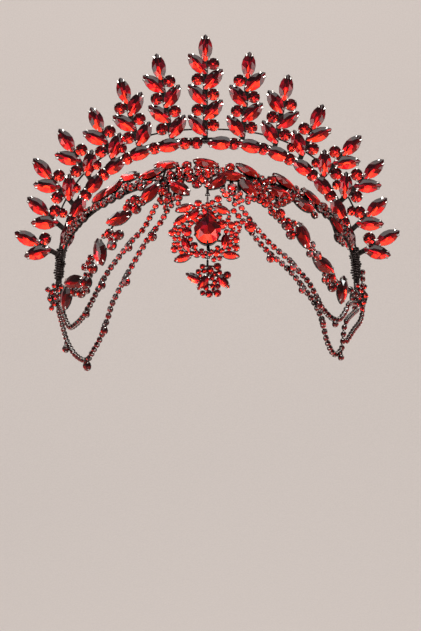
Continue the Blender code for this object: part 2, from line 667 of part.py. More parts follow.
def eye_mesh():
    """A small ring to hang a piece by, its axis along Z."""
    bpy.ops.mesh.primitive_torus_add(major_segments=10, minor_segments=5,
                                     major_radius=EYE_WIDE / 2, minor_radius=EYE_WIRE)
    ring = bpy.context.object
    mesh = ring.data
    bpy.data.objects.remove(ring)
    return mesh


def move_origin(made, place):
    """Put the object's origin at the place, and leave its mesh where it is."""
    offset = Matrix.Translation(made.matrix_world.inverted() @ place)
    made.data.transform(offset.inverted())
    made.matrix_world = made.matrix_world @ offset
    return made


def build_drop(shop, name, chain, along, share):
    """A round stone with an eye above it, on the front of a chain."""
    wide = share * ROUND_WIDE
    route = chain_places(chain)
    on_chain = smooth_route(route, 10 * (len(route) - 1))[round(along * 10)]
    stand = CHAIN_STAND + CHAIN_WIDE / 2 + CLEAR
    down = wide / 2 + EYE_WIDE / 2 - EYE_WIRE
    frame = form_matrix(on_chain.x, on_chain.z - down, stand, 0)
    mesh = stone_mesh(name, wide, wide, 0, CUP_TALL)
    made = make_object(name, mesh, shop.parts, frame, shop.siam)
    eye = frame @ Matrix.Translation((0, down - EYE_WIRE, EYE_WIRE * 1.2))
    return shop.fuse(made, [(shop.eye, eye)])


def pendant_frame():
    """The medallion's frame at its hinge: X right, Y up its face, Z out of its face."""
    hinge, normal = form_place(0, -PENDANT_DROP, PENDANT_STAND)
    return Matrix.Translation(hinge) @ Matrix.Rotation(math.pi / 2 - PENDANT_TURN, 4, "X")


def build_medallion(shop):
    """The bezel of the pear stone with the small stones around it, and the stalks to its two
    hinges. Each stone stands on a short bar from the bezel or from a stone nearer to it."""
    frame = pendant_frame()
    lift = Vector((0, 0, RIB_WIDE * 0.6))
    centre = Vector((0, -PEAR_DOWN * PENDANT_LONG, 0))
    bezel = stone_mesh("medallion", PEAR_WIDE * 0.92, PEAR_LONG * 0.92, BEZEL_TALL * 0.6,
                       BEZEL_TALL * 0.4, pinch_pear, 12, 0.9)
    made = make_object("medallion", bezel, shop.parts, frame @ Matrix.Translation(centre),
                       shop.metal)
    spots = [(Vector((x * PENDANT_HALF, -y * PENDANT_LONG, 0)), kind, turn)
             for kind, x, y, turn in MEDALLION]
    spots.sort(key=lambda row: (row[0] - centre).length)
    seats = [centre + Vector((0, y, 0)) for y in (-PEAR_LONG / 4, 0, PEAR_LONG / 4)]
    pieces = []
    for number, (spot, kind, turn) in enumerate(spots):
        matrix = frame @ Matrix.Translation(spot) @ Matrix.Rotation(math.radians(turn), 4, "Z")
        pieces.append((shop.stones[kind], matrix))
        seat = min(seats, key=lambda place: (place - spot).length)
        pieces.append(bar_between(f"medallion_rib_{number}", frame @ (spot + lift),
                                  frame @ (seat + lift), frame.col[2].xyz, RIB_WIDE))
        seats.append(spot)
    for number, y in enumerate((-CLEAR, -PENDANT_LONG)):
        spot = Vector((0, y, 0))
        pieces.append(bar_between(f"medallion_stalk_{number}", frame @ (spot + lift),
                                  frame @ (centre + lift), frame.col[2].xyz, RIB_WIDE))
    return shop.fuse(move_origin(made, frame.translation), pieces)


def build_pear(shop):
    """The pear stone, over its bezel."""
    frame = pendant_frame() @ Matrix.Translation((0, -PEAR_DOWN * PENDANT_LONG,
                                                  BEZEL_TALL + CLEAR))
    mesh = stone_mesh("pear_stone", PEAR_WIDE, PEAR_LONG, PEAR_TALL * 0.4, PEAR_TALL * 0.6,
                      pinch_pear, 16, 0.55)
    made = make_object("pear_stone", mesh, shop.parts, frame, shop.siam)
    return move_origin(made, pendant_frame().translation)


def lower_frame():
    """The lower drop's frame at its hinge, hanging straight."""
    place = pendant_frame() @ Vector((0, -PENDANT_LONG - RIB_WIDE / 2 - CLEAR, RIB_WIDE * 0.6))
    return Matrix.Translation(place) @ Matrix.Rotation(math.pi / 2, 4, "X")


def build_lower_drop(shop):
    """The leaf-shaped drop under the medallion: small stones on bars from its middle."""
    frame = lower_frame()
    centre = Vector((0, -DROP_HALF * 1.02, 0))
    spine_long = DROP_HALF * 1.86
    spine = Matrix.Translation((0, -spine_long / 2, 0))
    made = make_object("lower_drop", box_mesh("lower_drop", (RIB_WIDE, spine_long, RIB_WIDE)),
                       shop.parts, frame @ spine, shop.metal)
    pieces = []
    for number, (kind, x, y, turn) in enumerate(LOWER_DROP):
        spot = Vector((x * DROP_HALF, -y * DROP_HALF, -RIB_WIDE * 0.35))
        matrix = frame @ Matrix.Translation(spot) @ Matrix.Rotation(math.radians(turn), 4, "Z")
        pieces.append((shop.stones[kind], matrix))
        start = frame @ Vector((spot.x, spot.y, RIB_WIDE * 0.15))
        end = frame @ Vector((0, max(spot.y * 0.93, -spine_long * 0.9), RIB_WIDE * 0.05))
        if (end - start).length > RIB_WIDE * 1.6:
            pieces.append(bar_between(f"lower_rib_{number}", start, end, frame.col[2].xyz,
                                      RIB_WIDE * 0.9))
    return shop.fuse(move_origin(made, frame.translation), pieces)


def main():
    for thing in list(bpy.data.objects):
        bpy.data.objects.remove(thing, do_unlink=True)
    shop = Shop()
    build_rear_band(shop)
    build_front_band(shop)
    build_fan_base(shop)
    build_cross_wire(shop)
    for row in SPIKES:
        build_spike(shop, *row)
    build_strand(shop, "strand_left", STRAND_LEFT)
    build_strand(shop, "strand_right", STRAND_RIGHT)
    for name in CHAINS:
        build_chain(shop, name, chain_places(name))
    for name, share in CLUSTERS:
        build_cluster(shop, name, share)
    for name, row in DROPS.items():
        build_drop(shop, name, *row)
    build_medallion(shop)
    build_pear(shop)
    build_lower_drop(shop)


main()
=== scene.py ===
"""Looks of the bridal crown: cut siam-red stones in black claw cups, cup chains and drops.

Row frame, metres: +X to the viewer's right, +Y away from the viewer, +Z up. The origin is the
seat under the crest of the rear band. Every piece is worked out with numpy on rings, grids or
profiles carried along a path, and keeps the form of the CAD node that it stands for."""

import math

import bpy
import numpy as np
from mathutils import Matrix


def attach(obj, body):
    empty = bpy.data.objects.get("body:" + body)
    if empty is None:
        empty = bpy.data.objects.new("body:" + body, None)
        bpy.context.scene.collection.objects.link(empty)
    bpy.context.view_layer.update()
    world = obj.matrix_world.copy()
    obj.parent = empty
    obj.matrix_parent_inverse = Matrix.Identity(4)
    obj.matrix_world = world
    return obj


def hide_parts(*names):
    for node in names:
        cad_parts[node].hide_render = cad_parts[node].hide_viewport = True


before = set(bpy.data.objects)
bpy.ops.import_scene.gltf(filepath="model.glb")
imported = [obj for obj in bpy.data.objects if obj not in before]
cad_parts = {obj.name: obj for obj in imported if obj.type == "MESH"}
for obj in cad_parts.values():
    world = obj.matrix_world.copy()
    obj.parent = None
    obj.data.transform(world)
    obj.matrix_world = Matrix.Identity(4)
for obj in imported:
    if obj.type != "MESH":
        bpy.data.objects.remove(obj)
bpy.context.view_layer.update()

MM = 0.001
rng = np.random.default_rng(7)

# Sizes shared with the CAD model
HALF_WIDTH = 0.081
BAND_DROP = 0.0804
BAND_WIDE = 0.0036
BAND_THICK = 0.0024
ARCH_POWER = 2.4
FAN_LEAN = math.radians(6)
FORM_HALF_WIDTH = HALF_WIDTH - 0.0044
FORM_HALF_DEPTH = 0.098
FORM_UPPER = 0.080
FORM_LOWER = 0.150
FORM_AHEAD = 0.0051
FRONT_WIDE = 0.0044
FRONT_THICK = 0.0012
FRONT_STAND = 0.004
FRONT_SLOPE = 0.6
FRONT_LIFT = 0.014
CLEAR = 0.00035
STEM_WIDE = 0.0034
STEM_THICK = 0.0013
RIB = 0.0012
SPIKE_LONG = 0.060
FIRST_PAIR = 0.0163
PAIR_PITCH = 0.0085
PAIR_SIDE = 0.0043
LEAF_TURN = math.radians(42)
BASE_WIRE = 0.0008
BASE_DROP = 0.0018
CROSS_WIRE = 0.0005
CROSS_OUT = 0.0062
CHAIN_STAND = 0.0035
CHAIN_WIDE = 0.0026
STRAND_STAND = 0.0040
STRAND_WIRE = 0.0007
ROUND_WIDE = 0.0065
EYE_WIDE = 0.0026
EYE_WIRE = 0.0004
CLUSTER_WIDE = 0.0104
CLUSTER_THICK = 0.0010
PENDANT_HALF = 0.020
PENDANT_TURN = math.radians(25)
PENDANT_DROP = 0.0325
PENDANT_STAND = 0.0045
PENDANT_LONG = 0.0352
PEAR_DOWN = 0.60
PEAR_WIDE = 14.0 * MM
PEAR_LONG = 17.8 * MM
BEZEL_TALL = 0.0034
DROP_HALF = 0.010
FAN_FRONT = BAND_THICK / 2 + CLEAR
CHAIN_PITCH = 3.75 * MM
ROUND_TABLE = (0.56, 0.56)
FOUR_CLAWS = (45, 135, 225, 315)

# Spikes, from the middle out: foot on the arch and lean (degrees), share of SPIKE_LONG, pairs,
# first side
CENTRE_SPIKE = (90.4, 0, 0.97, 5, -1)
SIDE_SPIKES = {
    "right": ((80, 4.8, 0.83, 4, 1), (67.5, 10.8, 0.70, 3, -1), (56, 22.7, 0.565, 2, 1),
              (44, 43, 0.54, 2, 1), (31, 46, 0.57, 2, 1), (18.7, 48, 0.45, 1, 1),
              (9.6, 61, 0.46, 1, 1)),
    "left": ((100.3, -10.3, 0.825, 4, -1), (113, -15.5, 0.685, 3, 1), (125, -23, 0.55, 2, -1),
             (137.8, -32, 0.57, 2, -1), (150.6, -41, 0.58, 2, -1), (161, -49, 0.46, 1, -1),
             (170.4, -63, 0.465, 1, -1)),
}
# Stones at the foot of the fan: kind, place on the arch, turn from the arch (degrees)
BASE_STONES = (
    ("round", 92.6, 0), ("round", 96.2, 0), ("navette", 86.8, 4), ("round", 82.8, 0),
    ("navette", 76.6, -4), ("round", 71.8, 0), ("navette", 65.4, 0), ("round", 60, 0),
    ("navette", 53, 0), ("round", 47.6, 0), ("navette", 41.0, 0), ("round", 35.4, 0),
    ("navette", 28.6, 0), ("round", 22.6, 0), ("navette", 16.4, 0),
    ("navette", 101.8, 0), ("round", 107.4, 0), ("navette", 113.8, 0), ("round", 119.4, 0),
    ("navette", 126, 0), ("round", 132, 0), ("navette", 138, 0), ("round", 144, 0),
    ("navette", 150.6, 0), ("round", 156.6, 0), ("navette", 163, 0),
)
# Rounds between the spikes, places on the arch (degrees), and how far they stand above it
BETWEEN_SPIKES = (61.8, 50, 37.5, 25.5, 119, 131.4, 144.2, 155.4)
BETWEEN_OUT = 4.4 * MM
# Stones on the inner form, in runs of one kind: X and Z as shares of HALF_WIDTH and BAND_DROP,
# and a turn (degrees) where there is one
FRONT_STONES = (
    ("navette", (-0.01, -0.20, -15), (-0.26, -0.21)), ("small_round", (-0.132, -0.211),
     (-0.23, -0.277), (-0.11, -0.30)), ("navette", (-0.174, -0.367, -33)),
    ("small_round", (-0.277, -0.386), (-0.067, -0.338), (0.00, -0.28)),
    ("navette", (0.062, -0.325, 40), (0.149, -0.285, -5)), ("small_round", (0.143, -0.225)),
    ("navette", (0.252, -0.247, -32), (0.253, -0.359, -50)), ("small_round", (0.154, -0.361),
     (0.36, -0.322)), ("tiny_round", (0.377, -0.437)), ("navette", (0.485, -0.315, -38),
     (0.44, -0.385, -15)), ("small_round", (0.495, -0.43)), ("tiny_round", (0.435, -0.468)),
    ("navette", (0.66, -0.405, -40), (0.61, -0.465, -25)), ("tiny_round", (0.678, -0.524),
     (0.755, -0.515)), ("navette", (0.822, -0.575, -58)), ("small_round", (0.832, -0.662)),
    ("navette", (-0.352, -0.264, 20), (-0.494, -0.275, 3)), ("small_round", (-0.472, -0.352)),
    ("navette", (-0.591, -0.345, 40), (-0.679, -0.392, 35)), ("small_round", (-0.699, -0.461)),
    ("tiny_round", (-0.755, -0.487), (-0.25, -0.445), (0.112, -0.405), (0.18, -0.42),
     (0.314, -0.385), (0.326, -0.44), (0.56, -0.395)), ("chaton", (0.875, -0.70)),
    ("tiny_round", (-0.874, -0.618)), ("chaton", (-0.73, -0.455), (-0.30, -0.435), (-0.213, -0.43),
     (-0.225, -0.475), (0.093, -0.375), (0.135, -0.435), (0.15, -0.395), (0.205, -0.395),
     (0.215, -0.44), (-0.175, -0.265), (0.07, -0.245), (0.30, -0.315), (-0.41, -0.315),
     (-0.53, -0.335), (0.565, -0.345)), ("tiny_round", (0.0, -0.343)), ("chaton", (-0.262, -0.487),
     (-0.183, -0.462), (0.262, -0.402), (0.252, -0.452), (0.168, -0.465), (-0.27, -0.335),
     (0.395, -0.49)),
)
STRANDS = {
    "strand_left": (
        ("navette", (-0.362, -0.388, 52)), ("small_round", (-0.46, -0.43), (-0.503, -0.48),
         (-0.448, -0.492)), ("navette", (-0.558, -0.549, 20)), ("small_round", (-0.621, -0.646),
         (-0.556, -0.656), (-0.602, -0.722)), ("navette", (-0.679, -0.762, -80)),
        ("tiny_round", (-0.74, -0.80), (-0.782, -0.856)), ("small_round", (-0.725, -0.868)),
        ("round", (-0.768, -0.955)), ("navette", (-0.849, -0.95, 5)),
        ("small_round", (-0.85, -1.012), (-0.805, -1.022)), ("navette", (-0.91, -1.045, 80)),
        ("tiny_round", (-0.945, -1.03), (-0.967, -1.04), (-0.9885, -1.03))),
    "strand_right": (
        ("small_round", (0.456, -0.52), (0.495, -0.597), (0.522, -0.655)),
        ("navette", (0.60, -0.659, -70)), ("tiny_round", (0.659, -0.715), (0.644, -0.774)),
        ("small_round", (0.691, -0.786)), ("navette", (0.731, -0.843, -35)),
        ("small_round", (0.785, -0.919)), ("tiny_round", (0.745, -0.939)),
        ("small_round", (0.791, -0.984)), ("navette", (0.862, -1.00, 84)),
        ("tiny_round", (0.92, -1.00), (0.955, -1.02), (0.989, -1.03))),
}
# Small stones that fill a strand's sides, beside its wire
STRAND_FILL = {
    "strand_left": (("chaton", -0.405, -0.455), ("chaton", -0.50, -0.44),
                    ("chaton", -0.655, -0.66), ("chaton", -0.76, -1.01)),
    "strand_right": (("tiny_round", 0.402, -0.517), ("tiny_round", 0.535, -0.583),
                     ("chaton", 0.455, -0.57), ("chaton", 0.83, -0.95)),
}
CLUSTERS = (("cluster_left", -1.01), ("cluster_right", 1.01))
# Chain routes: X, Z and, off the inner form, Y, as shares of HALF_WIDTH, BAND_DROP and
# FORM_HALF_DEPTH
CHAINS = {
    "chain_left_upper": (
        (-0.322, -0.452), (-0.365, -0.54), (-0.41, -0.62), (-0.48, -0.69), (-0.54, -0.765),
        (-0.615, -0.86), (-0.67, -0.945), (-0.71, -1.015), (-0.75, -1.09), (-0.80, -1.17),
        (-0.85, -1.22), (-0.90, -1.245), (-0.935, -1.20), (-0.955, -1.15),
        (-0.985, -1.092, -0.153)),
    "chain_left_lower": (
        (-0.248, -0.483), (-0.30, -0.58), (-0.36, -0.655), (-0.41, -0.735), (-0.46, -0.82),
        (-0.505, -0.90), (-0.57, -1.02), (-0.61, -1.10), (-0.635, -1.18), (-0.68, -1.30),
        (-0.735, -1.395), (-0.785, -1.46), (-0.86, -1.43), (-0.92, -1.35), (-0.955, -1.265),
        (-1.0, -1.128, -0.15)),
    "chain_right_upper": (
        (0.205, -0.465), (0.25, -0.535), (0.31, -0.615), (0.375, -0.69), (0.445, -0.755),
        (0.515, -0.81), (0.575, -0.88), (0.64, -0.95), (0.69, -1.035), (0.725, -1.105),
        (0.795, -1.18), (0.85, -1.195), (0.895, -1.15), (0.93, -1.09),
        (0.989, -1.088, -0.152)),
    "chain_right_lower": (
        (0.152, -0.487), (0.225, -0.57), (0.28, -0.645), (0.34, -0.72), (0.405, -0.785),
        (0.48, -0.845), (0.545, -0.91), (0.605, -0.985), (0.67, -1.07), (0.715, -1.15),
        (0.745, -1.24), (0.77, -1.335), (0.82, -1.42), (0.875, -1.385), (0.89, -1.28),
        (0.91, -1.20), (1.0, -1.128, -0.15)),
    "chain_right_rear": (
        (0.905, -1.345, -0.44), (0.965, -1.265, -0.31), (1.02, -1.20, -0.17),
        (1.0435, -1.10, -0.068), (1.0435, -0.96, -0.062), (1.0435, -0.85, -0.06)),
}
# Small drops of each side: chain, place along its route in points, width as a share of the
# round stone
DROPS = {
    "left": (("upper", 3.2, 0.6), ("upper", 5.9, 0.66), ("upper", 8.4, 0.6), ("lower", 1.7, 0.71),
             ("lower", 5.1, 0.76), ("lower", 8.4, 0.65), ("lower", 10.7, 0.83),
             ("lower", 13.0, 0.65)),
    "right": (("upper", 1.3, 0.97), ("upper", 5.3, 0.6), ("upper", 8.4, 0.65),
              ("upper", 10.3, 0.52), ("lower", 3.8, 0.65), ("lower", 6.8, 0.6),
              ("lower", 9.4, 0.5), ("lower", 12.6, 0.5)),
}
# Medallion, in runs: across and down from its hinge in PENDANT_HALF and PENDANT_LONG, turn
MEDALLION = (
    ("small_navette", (-0.36, 0.325, 50), (0.02, 0.305, -40)), ("tiny_round", (-0.24, 0.145),
     (0.27, 0.072)), ("small_navette", (-0.60, 0.224, 20), (-0.68, 0.419, 40), (0.36, 0.25, -24)),
    ("small_round", (-0.53, 0.61)), ("small_navette", (-0.55, 0.81, -70)),
    ("tiny_round", (-0.90, 0.625), (-0.84, 0.89)), ("small_navette", (-0.62, 1.03, 20)),
    ("tiny_round", (-0.27, 0.965), (0.22, 0.955)), ("small_navette", (0.57, 0.985, -8),
     (0.45, 0.76, 84)), ("tiny_round", (0.72, 0.738), (0.72, 0.867)),
    ("small_round", (0.37, 0.49)), ("tiny_round", (0.60, 0.50)), ("chaton", (-0.10, 0.19),
     (0.12, 0.125), (-0.42, 0.46), (0.19, 0.385), (0.62, 0.61), (0.74, 0.465), (0.88, 0.445),
     (1.0, 0.46), (-0.74, 0.625), (-0.70, 0.715), (-0.76, 0.80), (-0.66, 0.93), (-0.42, 0.95),
     (-0.10, 0.985), (0.06, 0.965), (0.36, 0.91), (0.16, 1.05)),
)
# Lower drop, in runs: across and down from its hinge in DROP_HALF, turn (degrees)
LOWER_DROP = (
    ("small_navette", (-0.68, 1.00, -30), (-0.22, 1.20, 55), (0.76, 1.15, -45)),
    ("tiny_round", (0.12, 0.60), (0.50, 0.42), (1.00, 0.85), (0.08, 1.80), (0.50, 1.76)),
    ("chaton", (-0.26, 0.42), (-0.46, 0.68), (0.60, 0.72), (0.22, 0.98), (0.26, 1.40),
     (0.52, 1.42)),
)


def listed(runs):
    """The stones of a table as (kind, first, second, turn), the turn 0 where none is given."""
    return [(kind, *(*spot, 0)[:3]) for kind, *spots in runs for spot in spots]


def shift(x, y, z):
    """A move."""
    made = np.eye(4)
    made[:3, 3] = x, y, z
    return made


def spin(axis, angle):
    """A turn about the X, Y or Z axis, by the right-hand rule."""
    first, second = {"X": (1, 2), "Y": (2, 0), "Z": (0, 1)}[axis]
    made = np.eye(4)
    made[first, first] = made[second, second] = math.cos(angle)
    made[second, first] = math.sin(angle)
    made[first, second] = -made[second, first]
    return made


def unit(vectors):
    """Vectors brought to length one, along the last axis."""
    vectors = np.asarray(vectors, float)
    return vectors / np.linalg.norm(vectors, axis=-1, keepdims=True)


def stand_up(origin, along, out):
    """A frame at the origin: X along, Z as near to out as it can be, Y = Z x X. Works on
    whole arrays of frames too."""
    along = unit(along)
    out = unit(out - np.sum(out * along, -1, keepdims=True) * along)
    made = np.zeros((*along.shape[:-1], 4, 4))
    made[..., :3, 0] = along
    made[..., :3, 1] = np.cross(out, along)
    made[..., :3, 2] = out
    made[..., :3, 3] = origin
    made[..., 3, 3] = 1
    return made


def arch_point(degrees, out=0.0):
    """The rear arch, a superellipse of power ARCH_POWER, moved outward: across and up in the
    fan's plane. Takes one angle or an array."""
    angle = np.radians(np.asarray(degrees, float))
    cosine, sine = np.cos(angle), np.maximum(np.sin(angle), 0)
    power = 2 / ARCH_POWER
    across = np.sign(cosine) * np.abs(cosine) ** power * (HALF_WIDTH + out)
    up = sine ** power * (BAND_DROP + BAND_WIDE / 2 + out) - BAND_DROP
    return np.stack([across, up], -1)


def fan(across, up, front, turn=0.0):
    """A frame in the fan's plane: X to the right, Y up the fan, Z to the viewer."""
    return spin("X", math.pi / 2 - FAN_LEAN) @ shift(across, up, front) @ spin("Z", turn)


def form_normal(points, stand=0.0):
    """The inner form's outward normal: the gradient of its two half ellipsoids."""
    height = points[..., 2] + FORM_UPPER
    tall = np.where(height > 0, FORM_UPPER, FORM_LOWER) + stand
    return unit(np.stack([points[..., 0] / (FORM_HALF_WIDTH + stand) ** 2,
                          (points[..., 1] + FORM_AHEAD) / (FORM_HALF_DEPTH + stand) ** 2,
                          height / tall ** 2], -1))


def form_place(x, z, stand):
    """The point of the inner form, grown by stand, in front at X and Z."""
    height = z + FORM_UPPER
    tall = np.where(height > 0, FORM_UPPER, FORM_LOWER) + stand
    deep = np.maximum(1 - (x / (FORM_HALF_WIDTH + stand)) ** 2 - (height / tall) ** 2, 0.008)
    return np.stack([x, -FORM_AHEAD - (FORM_HALF_DEPTH + stand) * np.sqrt(deep), z], -1)


def on_form(x, z, stand, degrees, forward=0.0):
    """A frame on the inner form: Z outward, turned to the viewer by the share forward, X in
    the direction seen from in front."""
    place = form_place(np.float64(x), np.float64(z), stand)
    normal = unit(form_normal(place, stand) - (0, forward, 0))
    seen = np.array([math.cos(math.radians(degrees)), 0, math.sin(math.radians(degrees))])
    seen[1] = -(normal[0] * seen[0] + normal[2] * seen[2]) / normal[1]
    return stand_up(place, seen, normal)


def front_line(steps):
    """The front band's middle line: its sloping plane cut with the grown inner form."""
    a, b, c = (size + FRONT_STAND for size in (FORM_HALF_WIDTH, FORM_HALF_DEPTH, FORM_UPPER))
    leg_face = (FRONT_LIFT - BAND_DROP) * math.sin(FAN_LEAN) - FAN_FRONT + FORM_AHEAD
    half = math.acos(min(1.0, (FRONT_WIDE / 5 - leg_face) / HALF_WIDTH))
    angle = np.linspace(-half, half, steps)
    sine, cosine = np.sin(angle), np.cos(angle)
    square = (sine / a) ** 2 + (cosine / b) ** 2 + (FRONT_SLOPE * cosine / c) ** 2
    linear = 2 * FRONT_LIFT * FRONT_SLOPE * cosine / c ** 2
    rest = (FRONT_LIFT / c) ** 2 - 1
    far = (np.sqrt(linear ** 2 - 4 * square * rest) - linear) / (2 * square)
    forward = far * cosine
    return np.stack([far * sine, -FORM_AHEAD - forward,
                     FRONT_LIFT - FORM_UPPER + FRONT_SLOPE * forward], -1)


def smooth_route(points, count):
    """Points read from a smooth curve through the route's own points: on each span a
    Catmull-Rom cubic of its two ends and their neighbours."""
    points = np.asarray(points)
    padded = np.vstack([2 * points[0] - points[1], points, 2 * points[-1] - points[-2]])
    place = np.linspace(0, len(points) - 1 - 1e-9, count)
    at = place.astype(int)
    t = (place - at)[:, None]
    a, b, c, d = (padded[at + step] for step in range(4))
    return 0.5 * (2 * b + (c - a) * t + (2 * a - 5 * b + 4 * c - d) * t ** 2
                  + (3 * b - a - 3 * c + d) * t ** 3)


def chain_places(name):
    """A chain's chosen points, on the inner form or at their own Y."""
    rows = np.array([(row[0], row[1], row[2] if len(row) > 2 else np.nan)
                     for row in CHAINS[name]])
    places = form_place(rows[:, 0] * HALF_WIDTH, rows[:, 1] * BAND_DROP, CHAIN_STAND)
    places[:, 1] = np.where(np.isnan(rows[:, 2]), places[:, 1], rows[:, 2] * FORM_HALF_DEPTH)
    return places


# A pattern is (verts, faces, marks): the mesh of one small thing at its own origin. A stone's
# marks are the directions that its mirrored back facets seem to face through the glass, and a
# cup's marks give each face's share of painted highlight, most on the claw tips.


def navette_edge(t):
    """A marquise outline: X is the cosine, Y the sine raised to 1.7, so its ends point."""
    return np.cos(t), np.sign(np.sin(t)) * np.abs(np.sin(t)) ** 1.7


def round_edge(t):
    """A circle."""
    return np.cos(t), np.sin(t)


def pear_edge(t):
    """A circle drawn in towards its top, with its point at +Y."""
    up = np.sin(t)
    return np.cos(t) * (1 - 0.75 * np.maximum(up, 0) ** 1.3), up


def edge_ring(edge, count, long, wide, z, start=0.0):
    """The outline at equal steps of its angle, scaled to long by wide, at height z."""
    x, y = edge(start + np.arange(count) * 2 * np.pi / count)
    return np.stack([x * long / 2, y * wide / 2, np.full(count, z)], -1)


def cut_stone(edge, count, long, wide, low, girdle, top, table, seen=37.0):
    """A cut stone: a belt from low to girdle, kite and star facets from the girdle's count
    points to a table of half as many, and the table divided as the pavilion's facets show
    through it: into wedges, and on a round stone into a ring of smaller facets around them.
    Each face's mark is a mirror tilt, towards the middle by the seen angle along the outline's
    gradient. Table holds the table's shares of the length and of the width."""
    half = count // 2
    step = 2 * np.pi / count
    table_long, table_wide = long * table[0], wide * table[1]
    rings = [
        edge_ring(edge, count, long * 0.9, wide * 0.9, low),
        edge_ring(edge, count, long, wide, girdle - 0.25 * MM),
        edge_ring(edge, count, long, wide, girdle),
        edge_ring(edge, half, table_long, table_wide, top, step),
        edge_ring(edge, half, table_long * 0.52, table_wide * 0.52, top + 0.01 * MM, 2 * step),
        np.array([[0, 0, top + 0.01 * MM]]),
    ]
    verts = np.vstack(rings)
    first = np.cumsum([0] + [len(ring) for ring in rings])
    faces = [tuple(range(count - 1, -1, -1))]
    for ring in (0, 1):
        a, b = first[ring], first[ring + 1]
        faces += [(a + k, a + (k + 1) % count, b + (k + 1) % count, b + k) for k in range(count)]
    rim, edge_of_table, inner, centre = first[2], first[3], first[4], first[5]
    round_stone = edge is round_edge
    slopes = [1.0] * len(faces)
    for k in range(half):
        here, there = edge_of_table + k, edge_of_table + (k + 1) % half
        low_a, low_b = rim + 2 * k, rim + (2 * k + 1) % count
        low_c = rim + (2 * k + 2) % count
        faces += [(low_a, low_b, here), (low_b, low_c, here), (low_c, there, here)]
        slopes += [1.0, 0.9, 1.1]
        near, far = inner + k, inner + (k + 1) % half
        if round_stone:
            faces += [(here, there, near), (near, there, far), (near, far, centre)]
            slopes += [1.06, 0.84, 0.62]
        else:
            faces += [(here, there, near), (near, there, far, centre)]
            slopes += [1.0, 0.8]
    middles = np.array([verts[list(face)].mean(0) for face in faces])
    slope = np.radians(seen) * np.array(slopes)
    pull = unit(np.stack([middles[:, 0] / long ** 2, middles[:, 1] / wide ** 2], -1) + 1e-9)
    tilts = np.stack([-pull[:, 0] * np.sin(slope), -pull[:, 1] * np.sin(slope),
                      np.cos(slope)], -1)
    return verts, faces, tilts


def cup(edge, count, long, wide, tall, prongs, prong_wide=0.9 * MM):
    """A claw cup: an open wall that follows the outline over a closed floor, and prongs of
    three sections each that rise from the wall and lean in over the stone's edge."""
    outer = [edge_ring(edge, count, long * share, wide * share, z)
             for share, z in ((0.86, 0), (0.99, 0.25 * tall), (1.02, tall))]
    inner = [edge_ring(edge, count, long * share, wide * share, z)
             for share, z in ((0.95, tall), (0.85, 0.35 * tall))]
    rings = outer + inner
    verts = [np.vstack(rings)]
    faces = [tuple(range(count - 1, -1, -1))]
    for ring in range(4):
        a, b = ring * count, (ring + 1) * count
        faces += [(a + k, a + (k + 1) % count, b + (k + 1) % count, b + k) for k in range(count)]
    faces.append(tuple(4 * count + k for k in range(count)))
    # Painted highlight on the metal, as a share per face: a little on the top of the rim, most on the
    # claw tips.
    glint_shares = [0.0] + [0.0] * (2 * count) + [0.1] * count + [0.0] * (count + 1)
    used = 5 * count
    for angle in prongs:
        x, y = edge(np.array([math.radians(angle)]))
        foot = np.array([x[0] * long / 2, y[0] * wide / 2, 0])
        back = unit(foot)
        side = np.array([-back[1], back[0], 0])
        spots = ((1.0, 0.45 * tall, 1.0), (1.06, 0.95 * tall, 0.95),
                 (1.0, tall + 0.55 * MM, 0.75), (0.82, tall + 0.85 * MM, 0.45))
        for share, z, width in spots:
            middle = foot * share + np.array([0, 0, z])
            for across, through in ((-1, 1), (1, 1), (1, -1), (-1, -1)):
                verts.append(middle + side * across * prong_wide * width / 2
                             + (back * 0.7 + np.array([0, 0, 0.7])) * through * 0.16 * MM)
        for level in range(3):
            a, b = used + 4 * level, used + 4 * level + 4
            faces += [(a + k, b + k, b + (k + 1) % 4, a + (k + 1) % 4) for k in range(4)]
            glint_shares += [(0.0, 0.25, 0.9)[level]] * 4
        faces += [(used, used + 1, used + 2, used + 3),
                  (used + 15, used + 14, used + 13, used + 12)]
        glint_shares += [0.0, 1.0]
        used += 16
    return np.vstack(verts), faces, np.array(glint_shares)


def tube(points, radius, sides=6, closed=False, square=None, ups=None):
    """A tube or bar: a round or rectangular section carried along the points, turned so that
    its second axis stays near to ups. A ring if closed, capped if not."""
    points = np.asarray(points, float)
    if closed:
        along = np.roll(points, -1, 0) - np.roll(points, 1, 0)
    else:
        along = np.gradient(points, axis=0)
    along = unit(along)
    if ups is None:
        ups = np.tile([0.31, -0.17, 0.94], (len(points), 1))
    up = unit(ups - np.sum(ups * along, -1, keepdims=True) * along)
    side = np.cross(along, up)
    if square:
        wide, thick = square
        bevel = 0.82
        section = np.array([(1, bevel), (bevel, 1), (-bevel, 1), (-1, bevel), (-1, -bevel),
                            (-bevel, -1), (bevel, -1), (1, -bevel)]) * (wide / 2, thick / 2)
    else:
        turn = np.arange(sides) * 2 * np.pi / sides
        section = np.stack([np.cos(turn), np.sin(turn)], -1) * radius
    verts = (points[:, None] + side[:, None] * section[None, :, :1]
             + up[:, None] * section[None, :, 1:]).reshape(-1, 3)
    n, m = len(points), len(section)
    faces = []
    for row in range(n if closed else n - 1):
        a, b = row * m, (row + 1) % n * m
        faces += [(a + k, a + (k + 1) % m, b + (k + 1) % m, b + k) for k in range(m)]
    if not closed:
        faces.append(tuple(range(m - 1, -1, -1)))
        faces.append(tuple((n - 1) * m + k for k in range(m)))
    return verts, faces, None


def link_ring(radius, wire, count=14, sides=6):
    """A closed wire ring about Z."""
    turn = np.arange(count) * 2 * np.pi / count
    spots = np.stack([np.cos(turn) * radius, np.sin(turn) * radius, 0 * turn], -1)
    return tube(spots, wire, sides, closed=True, ups=np.tile([0, 0, 1.0], (count, 1)))


